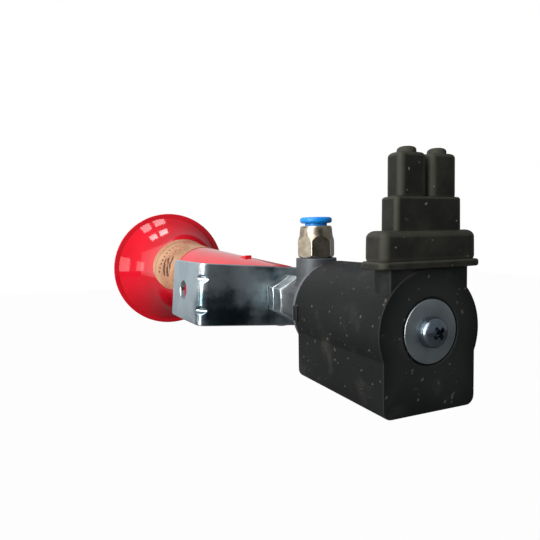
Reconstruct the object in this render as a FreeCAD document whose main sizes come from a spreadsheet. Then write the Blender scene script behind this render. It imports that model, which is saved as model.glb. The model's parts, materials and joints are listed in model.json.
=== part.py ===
import FreeCAD, Part
import math
import os
import re
import Sketcher

# Electric air horn: a flared trumpet on a solenoid valve, held by an L bracket.
# The origin is the centre of the bracket's fixing hole, on the outer face.
# +Y runs along the horn towards the bell, +Z is up with the coil upright.
# Stations are distances along the horn axis from the coil's rear face.

doc = FreeCAD.newDocument("AirHorn")
sheet = doc.addObject("Spreadsheet::Sheet", "Sizes")

DRIVING_SIZES = [
    # bracket: an L of zinc-plated strip
    ("strip_thickness", 2.5), ("strip_width", 28.6), ("bend_reach", 43.0), ("bend_radius", 4.0),
    ("flange_rise", 39.0), ("flange_splay", 4.0), ("plate_tail", 16.0), ("bracket_tilt", 4.65),
    ("hole_rise", 23.0), ("fixing_radius", 4.5), ("corner_radius", 2.0),
    ("gusset_depth", 3.3), ("gusset_size", 7.3), ("gusset_spacing", 14.4), ("ridge_root", 0.9),
    # threaded stem and its nuts
    ("thread_radius", 6.0), ("stem_bore_radius", 3.0), ("stem_hold", 4.0), ("stem_reach", 4.0),
    ("nut_flats", 18.6), ("lock_nut_length", 6.0), ("jam_nut_length", 8.2), ("nut_bevel", 0.9),
    ("nut_land", 0.2), ("bevel_slope", 0.58),
    # running, seating and face clearances
    ("running_gap", 0.1), ("seating_gap", 0.05), ("face_gap", 0.1), ("collar_gap", 0.2),
    ("coil_gap", 0.4),
    # trumpet and the parts in its small end
    ("horn_length", 238.7), ("horn_wall", 2.4), ("throat_radius", 15.07), ("bell_radius", 49.9),
    ("horn_taper", 0.045), ("flare_length", 25.0), ("rim_width", 3.2), ("rim_step", 1.0),
    ("lug_start", 42.0), ("lug_length", 9.5), ("lug_height", 1.4), ("lug_width", 4.0),
    ("lug_ramp", 1.5), ("lug_toe", 0.6), ("lug_tail", 0.1),
    ("label_start", 130.5), ("label_length", 57.5), ("label_thickness", 0.25), ("label_wrap", 230.0),
    ("collar_radius", 15.4), ("collar_length", 2.8), ("spigot_gap", 0.2), ("spigot_length", 16.0),
    ("chamber_radius", 9.5), ("gasket_thickness", 1.0), ("diaphragm_thickness", 0.4),
    ("throat_bore", 3.5), ("insert_length", 38.0), ("insert_flange", 4.5), ("insert_tip", 7.5),
    ("insert_draft", 1.5), ("insert_wall", 1.2),
    # valve body and what sits in it
    ("ring_thickness", 3.0), ("ring_radius", 18.5), ("neck_flats", 17.8), ("neck_length", 32.2),
    ("boss_reach", 16.0), ("boss_radius", 8.6), ("boss_top", 19.85), ("cavity_wall", 2.5),
    ("cavity_depth", 25.5), ("outlet_radius", 4.6), ("inlet_radius", 2.9), ("inlet_depth", 4.0),
    ("port_depth", 9.5), ("port_radius", 4.9), ("seat_length", 5.2), ("seat_lip", 1.2),
    ("seat_lip_radius", 2.9), ("seat_bore", 2.0),
    # armature tube, fixed core, plunger, spring
    ("tube_radius", 7.0), ("tube_wall", 0.8), ("tube_start", 2.0), ("tube_hold", 7.8),
    ("seal_section", 0.85), ("seal_play", 0.05), ("core_start", 1.4), ("core_end", 20.0),
    ("plunger_stroke", 2.0), ("stop_gap", 0.3), ("nose_wall", 0.9), ("nose_start", 1.0),
    ("pad_radius", 3.8), ("pad_depth", 2.0), ("pad_stand", 0.4), ("pocket_radius", 3.5),
    ("pocket_depth", 12.0), ("spring_radius", 2.7), ("spring_wire", 0.7), ("spring_turns", 7.0),
    # coil and its contents
    ("coil_length", 53.6), ("coil_radius", 19.3), ("coil_flat", 17.7), ("coil_foot", 25.1),
    ("foot_top", 7.7), ("foot_corner", 3.0), ("tower_width", 29.9), ("tower_depth", 8.2),
    ("tower_insert", 7.8), ("recess_radius", 10.6), ("recess_depth", 1.1),
    ("rim_lug_height", 0.6), ("rim_lug_width", 6.0), ("rim_lug_depth", 3.0),
    ("yoke_thickness", 2.5), ("yoke_start", 2.8), ("yoke_width", 24.0), ("yoke_cover", 3.6),
    ("bobbin_wall", 1.0), ("bobbin_rim", 0.9), ("bobbin_flange", 1.5), ("winding_radius", 13.5),
    ("blade_spacing", 11.4), ("blade_width", 4.8), ("blade_thickness", 0.8), ("blade_stand", 7.0),
    ("blade_centre", 4.3), ("blade_cover", 0.8),
    # washer and screw behind the coil
    ("washer_radius", 10.0), ("washer_thickness", 1.0), ("washer_edge", 0.2),
    ("screw_head_radius", 4.9), ("screw_head_height", 3.6), ("screw_radius", 2.5),
    ("screw_length", 12.0), ("cross_width", 1.2), ("cross_span", 5.2), ("cross_depth", 2.2),
    # rubber boot over the terminals
    ("boot_centre", 4.9), ("lip_height", 2.3), ("lip_width", 37.8), ("lip_depth", 12.0),
    ("cap_height", 9.1), ("cap_width", 36.1), ("cap_depth", 10.2), ("block_height", 10.1),
    ("block_width", 25.4), ("block_depth", 7.8), ("sleeve_height", 13.1), ("sleeve_width", 9.9),
    ("sleeve_depth", 7.2), ("tip_height", 1.9), ("tip_radius", 2.9), ("boot_corner", 1.6),
    ("boot_wall", 1.6),
    # push-in tube fitting
    ("hose_radius", 4.05), ("packing_radius", 0.85), ("holder_play", 0.13), ("hex_wall", 1.12),
    ("hex_height", 8.6), ("hex_turn", -12.8), ("shoulder_height", 4.6), ("fitting_gap", 0.35),
    ("fitting_thread", 8.0), ("fitting_bore", 2.75), ("hose_stop", 1.3), ("holder_floor", 3.8),
    ("mouth_wall", 0.4), ("claw_height", 0.9), ("claw_sheet", 0.4), ("claw_rim", 0.4), ("claw_slots", 8.0),
    ("claw_slot_width", 0.8), ("keeper_wall", 0.4), ("button_wall", 0.6), ("button_rise", 1.1),
    ("button_height", 2.5), ("button_flange", 2.7), ("button_travel", 1.0), ("button_edge", 0.9),
]
for row, (alias, value) in enumerate(DRIVING_SIZES, start=1):
    sheet.set(f"A{row}", alias)
    sheet.set(f"B{row}", str(value))
    sheet.setAlias(f"B{row}", alias)
doc.recompute()


def size(alias):
    return float(sheet.get(alias))


def full(expression):
    """A size expression as the document reads it: every alias has an underscore in it."""
    return re.sub(r"\b([a-z]+(?:_[a-z]+)+)\b", r"Sizes.\1", str(expression))


def number(expression):
    return float(sheet.evalExpression(full(expression)))


X_AXIS = FreeCAD.Vector(1, 0, 0)
Y_AXIS = FreeCAD.Vector(0, 1, 0)
Z_AXIS = FreeCAD.Vector(0, 0, 1)
ALONG_HORN = FreeCAD.Rotation(X_AXIS, -90)
UPRIGHT = FreeCAD.Rotation()

# Stations along the horn axis, each built on the one before it.
RING = "(coil_length + coil_gap)"
BOSS = f"({RING} + boss_reach)"
NECK_END = f"({RING} + neck_length)"
LOCK_NUT = f"({NECK_END} + jam_nut_length)"
PLATE = f"({LOCK_NUT} + lock_nut_length + face_gap)"
CAP_START = f"({PLATE} + strip_thickness + collar_gap)"
HORN = f"({CAP_START} + collar_length)"
HORN_END = f"({HORN} + horn_length)"

# The horn axis, seen from the fixing hole.
HOLE_REACH = "(bend_reach + hole_rise*tan(flange_splay*1deg))"
AXIS_X = HOLE_REACH + "*cos(bracket_tilt*1deg)"
AXIS_Z = "-" + HOLE_REACH + "*sin(bracket_tilt*1deg)"
REAR_Y = f"-({PLATE} + hole_rise)"


def place(thing, station="0", rotation=ALONG_HORN, side="0", up="0"):
    """Put a part's own origin at a station on the horn axis, moved sideways and up."""
    thing.Placement = FreeCAD.Placement(FreeCAD.Vector(), rotation)
    thing.setExpression(".Placement.Base.x", full(f"{AXIS_X} + {side}"))
    thing.setExpression(".Placement.Base.y", full(f"{REAR_Y} + {station}"))
    thing.setExpression(".Placement.Base.z", full(f"{AXIS_Z} + {up}"))
    return thing


def named(thing, label):
    thing.Label = label
    NODES.append(thing)
    return thing


NODES = []


def origin_plane(body, role):
    return next(item for item in body.Origin.OriginFeatures if item.Role == role)


def outline(body, name, plane, points):
    """A closed polygon on one of the body's origin planes, each corner tied to the sheet."""
    sketch = body.newObject("Sketcher::SketchObject", name)
    sketch.AttachmentSupport = [(origin_plane(body, plane), "")]
    sketch.MapMode = "FlatFace"
    spots = [(number(across), number(up)) for across, up in points]
    count = len(points)
    for index in range(count):
        here = FreeCAD.Vector(*spots[index], 0)
        there = FreeCAD.Vector(*spots[(index + 1) % count], 0)
        sketch.addGeometry(Part.LineSegment(here, there), False)
    for index in range(count):
        following = (index + 1) % count
        sketch.addConstraint(Sketcher.Constraint("Coincident", index, 2, following, 1))
    for index, corner in enumerate(points):
        for kind, axis_line, expression, spot in zip(
                ("DistanceX", "DistanceY"), (-2, -1), corner, spots[index]):
            if str(expression) == "0":
                sketch.addConstraint(Sketcher.Constraint("PointOnObject", index, 1, axis_line))
            else:
                rule = Sketcher.Constraint(kind, -1, 1, index, 1, spot)
                position = sketch.addConstraint(rule)
                sketch.setExpression(f"Constraints[{position}]", full(expression))
    return sketch


def turned(name, points):
    """A body turned about its own Z axis from a half outline of (radius, height) corners."""
    body = doc.addObject("PartDesign::Body", name)
    sketch = outline(body, name + "Profile", "XZ_Plane", points)
    spin = body.newObject("PartDesign::Revolution", name + "Turn")
    spin.Profile = sketch
    spin.ReferenceAxis = (sketch, ["V_Axis"])
    spin.Angle = 360
    body.Tip = spin
    doc.recompute()
    return body


def padded(name, plane, points, length, midplane=False, reversed_pad=False):
    """A body of one outline given a thickness."""
    body = doc.addObject("PartDesign::Body", name)
    sketch = outline(body, name + "Outline", plane, points)
    pad = body.newObject("PartDesign::Pad", name + "Pad")
    pad.Profile = sketch
    pad.Midplane = midplane
    pad.Reversed = reversed_pad
    pad.setExpression("Length", full(length))
    body.Tip = pad
    doc.recompute()
    return body


def rounded(body, radius, chosen):
    """Fillet the edges of a body's tip that the chooser picks."""
    base = body.Tip
    names = [f"Edge{i}" for i, edge in enumerate(base.Shape.Edges, start=1) if chosen(edge)]
    fillet = body.newObject("PartDesign::Fillet", body.Name + "Round" + str(len(body.Group)))
    fillet.Base = (base, names)
    fillet.setExpression("Radius", full(radius))
    body.Tip = fillet
    doc.recompute()
    return body


def runs_along(direction):
    """Straight edges parallel to a direction of the body's own frame."""
    def test(edge):
        if not isinstance(edge.Curve, Part.Line):
            return False
        return abs(abs(edge.Curve.Direction.dot(direction)) - 1) < 1e-6
    return test


def cylinder(name, radius, length):
    rod = doc.addObject("Part::Cylinder", name)
    rod.setExpression("Radius", full(radius))
    rod.setExpression("Height", full(length))
    return rod


def hexagon(name, flats, length):
    bar = doc.addObject("Part::Prism", name)
    bar.Polygon = 6
    bar.setExpression("Circumradius", full(f"({flats})/sqrt(3)"))
    bar.setExpression("Height", full(length))
    return bar


def block(name, width, depth, height, station="0", side="0", up="0"):
    """A box centred on its side and depth, standing on its own height."""
    box = doc.addObject("Part::Box", name)
    box.setExpression("Length", full(width))
    box.setExpression("Width", full(depth))
    box.setExpression("Height", full(height))
    place(box, f"{station} - ({depth})/2", UPRIGHT, f"{side} - ({width})/2", up)
    return box


def cut(name, base, tool):
    result = doc.addObject("Part::Cut", name)
    result.Base = base
    result.Tool = tool
    return result


def common(name, base, tool):
    result = doc.addObject("Part::Common", name)
    result.Base = base
    result.Tool = tool
    return result


def joined(name, shapes):
    result = doc.addObject("Part::MultiFuse", name)
    result.Shapes = shapes
    return result


# --- mounting bracket ---------------------------------------------------------------------
# Bent from flat strip: the stem passes through the plate, the flange carries the fixing hole.
# The whole bracket is turned about the horn axis by the tilt. Its local X points away from
# the flange, its local Y runs along the horn from the plate's rear face.
BRACKET_TURN = FreeCAD.Rotation(Y_AXIS, size("bracket_tilt"))
SLOPE = "tan(flange_splay*1deg)"
inner_x = f"-bend_reach + strip_thickness/cos(flange_splay*1deg) - strip_thickness*{SLOPE}"
end_back = "strip_thickness*sin(flange_splay*1deg)"
end_side = "strip_thickness*cos(flange_splay*1deg)"
strip = padded("BracketStrip", "XY_Plane", [
    ("plate_tail", "0"),
    ("plate_tail", "strip_thickness"),
    (inner_x, "strip_thickness"),
    (f"-bend_reach - flange_rise*{SLOPE} + {end_side}", f"flange_rise + {end_back}"),
    (f"-bend_reach - flange_rise*{SLOPE}", "flange_rise"),
    ("-bend_reach", "0"),
], "strip_width", midplane=True)


def bend_corner(x, y):
    def test(edge):
        middle = edge.BoundBox.Center
        return runs_along(Z_AXIS)(edge) and math.hypot(middle.x - x, middle.y - y) < 1e-3
    return test


rounded(strip, "bend_radius", bend_corner(-size("bend_reach"), 0))
rounded(strip, "bend_radius - strip_thickness", bend_corner(number(inner_x), size("strip_thickness")))


def strip_corner(edge):
    box = edge.BoundBox
    at_edge = abs(abs(box.Center.z) - size("strip_width") / 2) < 1e-3
    at_tail = box.Center.x > size("plate_tail") - 1e-3
    at_end = box.Center.y > size("flange_rise") - 1e-3
    long_way = box.DiagonalLength < size("strip_thickness") * 1.01
    return at_edge and (at_tail or at_end) and long_way


rounded(strip, "corner_radius", strip_corner)

# Two V gussets are pressed into the bend from outside, so each is a groove outside and a
# ridge of the same sheet inside. Both are square bars lying across the bend, edge inwards.
DIAGONAL_TURN = FreeCAD.Rotation(Z_AXIS, FreeCAD.Vector(1, -1, 0))
grooves = []
ridges = []
for index, sign in enumerate((-1, 1)):
    for kind, depth, group in (
            ("Groove", "gusset_depth", grooves),
            ("Ridge", "(gusset_depth + strip_thickness*sqrt(2))", ridges)):
        bar = doc.addObject("Part::Prism", f"Gusset{kind}{index}")
        bar.Polygon = 4
        bar.setExpression("Circumradius", full("gusset_size"))
        bar.setExpression("Height", full("strip_width"))
        inward = f"({depth} - gusset_size)/sqrt(2)"
        half = "strip_width/2/sqrt(2)"
        bar.Placement = FreeCAD.Placement(FreeCAD.Vector(), DIAGONAL_TURN)
        bar.setExpression(".Placement.Base.x", full(f"-bend_reach + {inward} - {half}"))
        bar.setExpression(".Placement.Base.y", full(f"{inward} + {half}"))
        bar.setExpression(".Placement.Base.z", full(f"{sign}*gusset_spacing/2"))
        group.append(bar)
inner_corner = doc.addObject("Part::Box", "InnerCorner")
inner_corner.setExpression("Length", full("bend_reach/2"))
inner_corner.setExpression("Width", full("flange_rise/2"))
inner_corner.setExpression("Height", full("strip_width"))
inner_corner.setExpression(".Placement.Base.x", full("-bend_reach + strip_thickness - ridge_root"))
inner_corner.setExpression(".Placement.Base.y", full("strip_thickness - ridge_root"))
inner_corner.setExpression(".Placement.Base.z", full("-strip_width/2"))
ridge_pair = common("GussetRidges", joined("RidgeBars", ridges), inner_corner)
ribbed = joined("RibbedStrip", [strip, ridge_pair])
stem_hole = cylinder("StemHole", "thread_radius + running_gap", "strip_thickness*3")
stem_hole.Placement = FreeCAD.Placement(FreeCAD.Vector(), ALONG_HORN)
stem_hole.setExpression(".Placement.Base.y", full("-strip_thickness"))
fixing_hole = cylinder("FixingHole", "fixing_radius", "strip_thickness*4")
INTO_FLANGE = FreeCAD.Vector(math.cos(math.radians(size("flange_splay"))),
                             math.sin(math.radians(size("flange_splay"))), 0)
fixing_hole.Placement = FreeCAD.Placement(FreeCAD.Vector(), FreeCAD.Rotation(Z_AXIS, INTO_FLANGE))
fixing_hole.setExpression(".Placement.Base.x", full(
    f"-{HOLE_REACH} - strip_thickness*2*cos(flange_splay*1deg)"))
fixing_hole.setExpression(".Placement.Base.y", full(
    "hole_rise - strip_thickness*2*sin(flange_splay*1deg)"))
bracket_tools = joined("BracketCuts", grooves + [stem_hole, fixing_hole])
bracket = cut("MountingBracket", ribbed, bracket_tools)
place(bracket, PLATE, BRACKET_TURN)
named(bracket, "mounting_bracket")

# --- threaded stem and nuts ---------------------------------------------------------------
# A hollow threaded stem joins valve and horn, and the bracket is clamped on it.
STEM_START = f"({NECK_END} - stem_hold)"
STEM_END = f"({HORN} + stem_reach)"
stem = turned("ThreadedStem", [
    ("stem_bore_radius", STEM_START),
    ("thread_radius - nut_bevel", STEM_START),
    ("thread_radius", f"{STEM_START} + nut_bevel"),
    ("thread_radius", f"{STEM_END} - nut_bevel"),
    ("thread_radius - nut_bevel", STEM_END),
    ("stem_bore_radius", STEM_END),
])
named(place(stem), "threaded_stem")


def nut(name, label, start, length):
    """A hexagon with both rims turned off at an angle, and a plain bore for the stem."""
    corner = "nut_flats/sqrt(3)"
    land = "(nut_flats/2 - nut_land)"
    blank = turned(name + "Blank", [
        ("thread_radius + seating_gap", "0"),
        (land, "0"),
        (corner, f"({corner} - {land})*bevel_slope"),
        (corner, f"{length} - ({corner} - {land})*bevel_slope"),
        (land, length),
        ("thread_radius + seating_gap", length),
    ])
    bar = hexagon(name + "Bar", "nut_flats", length)
    bar.Placement = FreeCAD.Placement(FreeCAD.Vector(), FreeCAD.Rotation(Z_AXIS, 30))
    shaped = common(name, blank, bar)
    place(shaped, start)
    return named(shaped, label)


nut("LockNut", "lock_nut", LOCK_NUT, "lock_nut_length")
nut("JamNut", "jam_nut", NECK_END, "jam_nut_length")

# --- horn ---------------------------------------------------------------------------------
# The trumpet is one moulded shell. Its radius grows by an even taper and, near the bell, by
# a flare that falls off exponentially with the distance from the rim.
TAPER_END = "(throat_radius + horn_taper*horn_length)"
FLARE_STEPS = 24


def horn_radius(station):
    """Outer radius of the trumpet at a station."""
    taper = size("throat_radius") + size("horn_taper") * (station - number(HORN))
    fall = math.exp((station - number(HORN_END)) / size("flare_length"))
    return taper + (size("bell_radius") - size("rim_step") - number(TAPER_END)) * fall


def horn_line(start, end, offset):
    """The trumpet's outline between two stations, moved outwards, as a curve in the XZ plane."""
    gap = (end - start) / FLARE_STEPS
    stations = [start + gap * step for step in range(FLARE_STEPS + 1)]
    points = [FreeCAD.Vector(horn_radius(s) + offset, 0, s) for s in stations]
    curve = Part.BSplineCurve()
    curve.interpolate(points)
    return curve.toShape(), points[0], points[-1]


def spun(edges, turn=360.0):
    """Turns an outline about the axis, by a full turn or a part of one centred on the top."""
    face = Part.Face(Part.Wire(Part.__sortEdges__(edges)))
    face.rotate(FreeCAD.Vector(), Z_AXIS, -90 - turn / 2)
    return face.revolve(FreeCAD.Vector(), Z_AXIS, turn)


def shell_shape():
    start = number(HORN)
    end = number(HORN_END)
    rim_start = end - size("rim_width")
    outer, outer_low, outer_high = horn_line(start, rim_start, 0)
    inner, inner_low, inner_high = horn_line(start, end, -size("horn_wall"))
    lip_radius = size("bell_radius")
    corners = [
        outer_high,
        FreeCAD.Vector(lip_radius, 0, rim_start + size("rim_step") / 2),
        FreeCAD.Vector(lip_radius, 0, end - size("rim_step") / 2),
        FreeCAD.Vector(lip_radius - size("rim_step") / 2, 0, end),
        inner_high,
    ]
    edges = [outer, inner, Part.makeLine(inner_low, outer_low)]
    edges += [Part.makeLine(a, b) for a, b in zip(corners, corners[1:])]
    return spun(edges)


trumpet_shell = doc.addObject("Part::Feature", "TrumpetShell")
trumpet_shell.Shape = shell_shape()
place(trumpet_shell)
LUG = f"({HORN} + lug_start)"
LUG_ROOT = "(throat_radius + horn_taper*lug_start)"
lug = padded("TrumpetLug", "YZ_Plane", [
    (LUG, f"{LUG_ROOT} - horn_wall/2"),
    (f"{LUG} + lug_length", f"{LUG_ROOT} - horn_wall/2"),
    (f"{LUG} + lug_length", f"{LUG_ROOT} + horn_taper*lug_length + lug_tail"),
    (f"{LUG} + lug_ramp", f"{LUG_ROOT} + lug_height"),
    (LUG, f"{LUG_ROOT} + lug_height - lug_toe"),
], "lug_width", midplane=True)
place(lug, "0", UPRIGHT)
named(joined("Trumpet", [trumpet_shell, lug]), "trumpet")


def label_shape():
    start = number(f"{HORN} + label_start")
    end = start + size("label_length")
    low, low_start, low_end = horn_line(start, end, size("seating_gap"))
    high, high_start, high_end = horn_line(start, end, size("seating_gap") + size("label_thickness"))
    sides = [Part.makeLine(low_start, high_start), Part.makeLine(low_end, high_end)]
    return spun([low, high] + sides, size("label_wrap"))


trumpet_label = doc.addObject("Part::Feature", "TrumpetLabel")
trumpet_label.Shape = label_shape()
named(place(trumpet_label), "trumpet_label")

# The cap closes the small end: a collar against the bracket, a spigot inside the trumpet and
# an air chamber open towards the diaphragm.
SPIGOT_RADIUS = "(throat_radius - horn_wall - spigot_gap)"
SPIGOT_END = f"({HORN} + spigot_length)"
cap = turned("ChamberCap", [
    ("thread_radius + seating_gap", CAP_START),
    ("collar_radius", CAP_START),
    ("collar_radius", HORN),
    (SPIGOT_RADIUS, HORN),
    (SPIGOT_RADIUS, SPIGOT_END),
    ("chamber_radius", SPIGOT_END),
    ("chamber_radius", f"{STEM_END} + face_gap"),
    ("thread_radius + seating_gap", f"{STEM_END} + face_gap"),
])
named(place(cap), "chamber_cap")
gasket = turned("DiaphragmGasket", [
    ("chamber_radius", SPIGOT_END),
    (SPIGOT_RADIUS, SPIGOT_END),
    (SPIGOT_RADIUS, f"{SPIGOT_END} + gasket_thickness"),
    ("chamber_radius", f"{SPIGOT_END} + gasket_thickness"),
])
named(place(gasket), "diaphragm_gasket")
DIAPHRAGM = f"({SPIGOT_END} + gasket_thickness)"
diaphragm = turned("Diaphragm", [
    ("0", DIAPHRAGM),
    (SPIGOT_RADIUS, DIAPHRAGM),
    (SPIGOT_RADIUS, f"{DIAPHRAGM} + diaphragm_thickness"),
    ("0", f"{DIAPHRAGM} + diaphragm_thickness"),
])
named(place(diaphragm), "diaphragm")
INSERT = f"({DIAPHRAGM} + diaphragm_thickness)"
insert = turned("ThroatInsert", [
    ("throat_bore", INSERT),
    (SPIGOT_RADIUS, INSERT),
    (SPIGOT_RADIUS, f"{INSERT} + insert_flange"),
    ("insert_tip + insert_draft", f"{INSERT} + insert_flange"),
    ("insert_tip", f"{INSERT} + insert_length"),
    ("insert_tip - insert_wall", f"{INSERT} + insert_length"),
])
named(place(insert), "throat_insert")

# --- valve body ---------------------------------------------------------------------------
# Cast and machined: a round seat against the coil, a hexagon neck and an upright inlet boss.
ring = cylinder("ValveRing", "ring_radius", "ring_thickness")
place(ring, RING)
neck = hexagon("ValveNeck", "neck_flats", "neck_length")
place(neck, RING, ALONG_HORN.multiply(FreeCAD.Rotation(Z_AXIS, 30)))
boss = cylinder("InletBoss", "boss_radius", "boss_top")
place(boss, BOSS, UPRIGHT)
body_blank = joined("ValveBlank", [ring, neck, boss])
SOCKET = "(tube_radius + seating_gap)"
TUBE_END = f"({RING} + tube_hold)"
SOCKET_END = f"({TUBE_END} + face_gap)"
SEAL = f"({RING} + ring_thickness/2)"
GROOVE_OUT = "(tube_radius + seal_section*2)"
CAVITY_RADIUS = "(neck_flats/2 - cavity_wall)"
CAVITY_END = f"({RING} + cavity_depth)"
ways = turned("ValveWays", [
    ("0", f"{RING} - ring_thickness"),
    (SOCKET, f"{RING} - ring_thickness"),
    (SOCKET, f"{SEAL} - seal_section"),
    (GROOVE_OUT, f"{SEAL} - seal_section"),
    (GROOVE_OUT, f"{SEAL} + seal_section"),
    (SOCKET, f"{SEAL} + seal_section"),
    (SOCKET, SOCKET_END),
    (CAVITY_RADIUS, SOCKET_END),
    (CAVITY_RADIUS, CAVITY_END),
    ("outlet_radius", CAVITY_END),
    ("outlet_radius", f"{STEM_START} - face_gap"),
    ("thread_radius + seating_gap", f"{STEM_START} - face_gap"),
    ("thread_radius + seating_gap", f"{NECK_END} + ring_thickness"),
    ("0", f"{NECK_END} + ring_thickness"),
])
place(ways)
inlet = turned("InletWay", [
    ("0", "inlet_depth"),
    ("inlet_radius", "inlet_depth"),
    ("inlet_radius", "boss_top - port_depth"),
    ("port_radius", "boss_top - port_depth"),
    ("port_radius", "boss_top + port_depth"),
    ("0", "boss_top + port_depth"),
])
place(inlet, BOSS, UPRIGHT)
valve_body = cut("ValveBody", body_blank, joined("ValveCuts", [ways, inlet]))
named(valve_body, "valve_body")

SEAT = f"({CAVITY_END} - seat_length)"
seat = turned("ValveSeat", [
    ("seat_bore", SEAT),
    ("seat_lip_radius", SEAT),
    ("seat_lip_radius", f"{SEAT} + seat_lip"),
    (f"{CAVITY_RADIUS} - seating_gap", f"{SEAT} + seat_lip"),
    (f"{CAVITY_RADIUS} - seating_gap", CAVITY_END),
    ("seat_bore", CAVITY_END),
])
named(place(seat), "valve_seat")

# --- armature tube, core, plunger ---------------------------------------------------------
armature = turned("ArmatureTube", [
    ("tube_radius - tube_wall", "tube_start"),
    ("tube_radius", "tube_start"),
    ("tube_radius", TUBE_END),
    ("tube_radius - tube_wall", TUBE_END),
])
named(place(armature), "armature_tube")
ring_seal = doc.addObject("Part::Torus", "TubeSeal")
ring_seal.setExpression("Radius1", full("tube_radius + seal_section"))
ring_seal.setExpression("Radius2", full("seal_section - seal_play"))
named(place(ring_seal, SEAL), "tube_o_ring")
core = turned("FixedCore", [
    ("screw_radius + seating_gap", "core_start"),
    ("tube_radius - tube_wall - seating_gap", "core_start"),
    ("tube_radius - tube_wall - seating_gap", "core_end"),
    ("0", "core_end"),
    ("0", "screw_length + stop_gap"),
    ("screw_radius + seating_gap", "screw_length + stop_gap"),
])
named(place(core), "fixed_core")
REAR = "(core_end + plunger_stroke + stop_gap)"
PAD_FACE = f"({SEAT} - face_gap)"
NOSE_END = f"({PAD_FACE} - pad_stand)"
plunger = turned("Plunger", [
    ("pocket_radius", REAR),
    ("tube_radius - tube_wall - running_gap", REAR),
    ("tube_radius - tube_wall - running_gap", f"{TUBE_END} - nose_start"),
    ("pad_radius + nose_wall", f"{TUBE_END} - nose_start/2"),
    ("pad_radius + nose_wall", NOSE_END),
    ("pad_radius + seating_gap", NOSE_END),
    ("pad_radius + seating_gap", f"{NOSE_END} - pad_depth"),
    ("0", f"{NOSE_END} - pad_depth"),
    ("0", f"{REAR} + pocket_depth"),
    ("pocket_radius", f"{REAR} + pocket_depth"),
])
named(place(plunger), "plunger")
pad = turned("PlungerPad", [
    ("0", f"{NOSE_END} - pad_depth"),
    ("pad_radius", f"{NOSE_END} - pad_depth"),
    ("pad_radius", PAD_FACE),
    ("0", PAD_FACE),
])
named(place(pad), "plunger_pad")
helix = doc.addObject("Part::Helix", "SpringLine")
SPRING_START = "(core_end + spring_wire/2 + seating_gap)"
SPRING_END = f"({REAR} + pocket_depth - spring_wire/2 - seating_gap)"
helix.setExpression("Radius", full("spring_radius"))
helix.setExpression("Height", full(f"{SPRING_END} - {SPRING_START}"))
helix.setExpression("Pitch", full(f"({SPRING_END} - {SPRING_START})/spring_turns"))
wire_end = doc.addObject("Part::Circle", "SpringWire")
wire_end.setExpression("Radius", full("spring_wire/2"))
wire_end.Placement = FreeCAD.Placement(FreeCAD.Vector(), FreeCAD.Rotation(X_AXIS, 90))
wire_end.setExpression(".Placement.Base.x", full("spring_radius"))
doc.recompute()
coiled = doc.addObject("Part::Sweep", "PlungerSpring")
coiled.Sections = [wire_end]
coiled.Spine = (helix, [f"Edge{i + 1}" for i in range(len(helix.Shape.Edges))])
coiled.Solid = True
coiled.Frenet = True
named(place(coiled, SPRING_START), "plunger_spring")

# --- coil ---------------------------------------------------------------------------------
# Potted coil: a round barrel let into a square foot, with a terminal tower at the rear end.
FRONT = "coil_length"
barrel = cylinder("CoilBarrel", "coil_radius", FRONT)
place(barrel)
foot = doc.addObject("PartDesign::Body", "CoilFoot")
foot_outline = outline(foot, "CoilFootOutline", "XZ_Plane", [
    ("-coil_flat", "-coil_foot"),
    ("coil_flat", "-coil_foot"),
    ("coil_flat", "-foot_top"),
    ("-coil_flat", "-foot_top"),
])
foot_pad = foot.newObject("PartDesign::Pad", "CoilFootPad")
foot_pad.Profile = foot_outline
foot_pad.Reversed = True
foot_pad.setExpression("Length", full(FRONT))
foot.Tip = foot_pad
doc.recompute()


def low_corner(edge):
    return runs_along(Y_AXIS)(edge) and edge.BoundBox.ZMax < -size("coil_foot") + 1e-3


rounded(foot, "foot_corner", low_corner)
place(foot, "0", UPRIGHT)
LIP_BOTTOM = "(coil_radius + seating_gap)"
TOWER_TOP = f"({LIP_BOTTOM} + tower_insert)"
tower = block("TerminalTower", "tower_width", "tower_depth", TOWER_TOP, "tower_depth/2")
rim_lug = block("RimLug", "coil_radius + rim_lug_height", "rim_lug_depth", "rim_lug_width",
                "coil_length - rim_lug_depth/2", "-(coil_radius + rim_lug_height)/2",
                "-rim_lug_width/2")
coil_blank = joined("CoilBlank", [barrel, foot, tower, rim_lug])

BOBBIN_START = "(yoke_start + yoke_thickness)"
BOBBIN_END = "(coil_length - yoke_start - yoke_thickness)"
BOBBIN_RADIUS = "(winding_radius + bobbin_rim)"
bobbin = turned("CoilBobbin", [
    ("tube_radius + running_gap", BOBBIN_START),
    (BOBBIN_RADIUS, BOBBIN_START),
    (BOBBIN_RADIUS, f"{BOBBIN_START} + bobbin_flange"),
    ("tube_radius + running_gap + bobbin_wall", f"{BOBBIN_START} + bobbin_flange"),
    ("tube_radius + running_gap + bobbin_wall", f"{BOBBIN_END} - bobbin_flange"),
    (BOBBIN_RADIUS, f"{BOBBIN_END} - bobbin_flange"),
    (BOBBIN_RADIUS, BOBBIN_END),
    ("tube_radius + running_gap", BOBBIN_END),
])
named(place(bobbin), "coil_bobbin")
winding = turned("CopperWinding", [
    ("tube_radius + running_gap + bobbin_wall", f"{BOBBIN_START} + bobbin_flange"),
    ("winding_radius", f"{BOBBIN_START} + bobbin_flange"),
    ("winding_radius", f"{BOBBIN_END} - bobbin_flange"),
    ("tube_radius + running_gap + bobbin_wall", f"{BOBBIN_END} - bobbin_flange"),
])
named(place(winding), "copper_winding")
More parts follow.
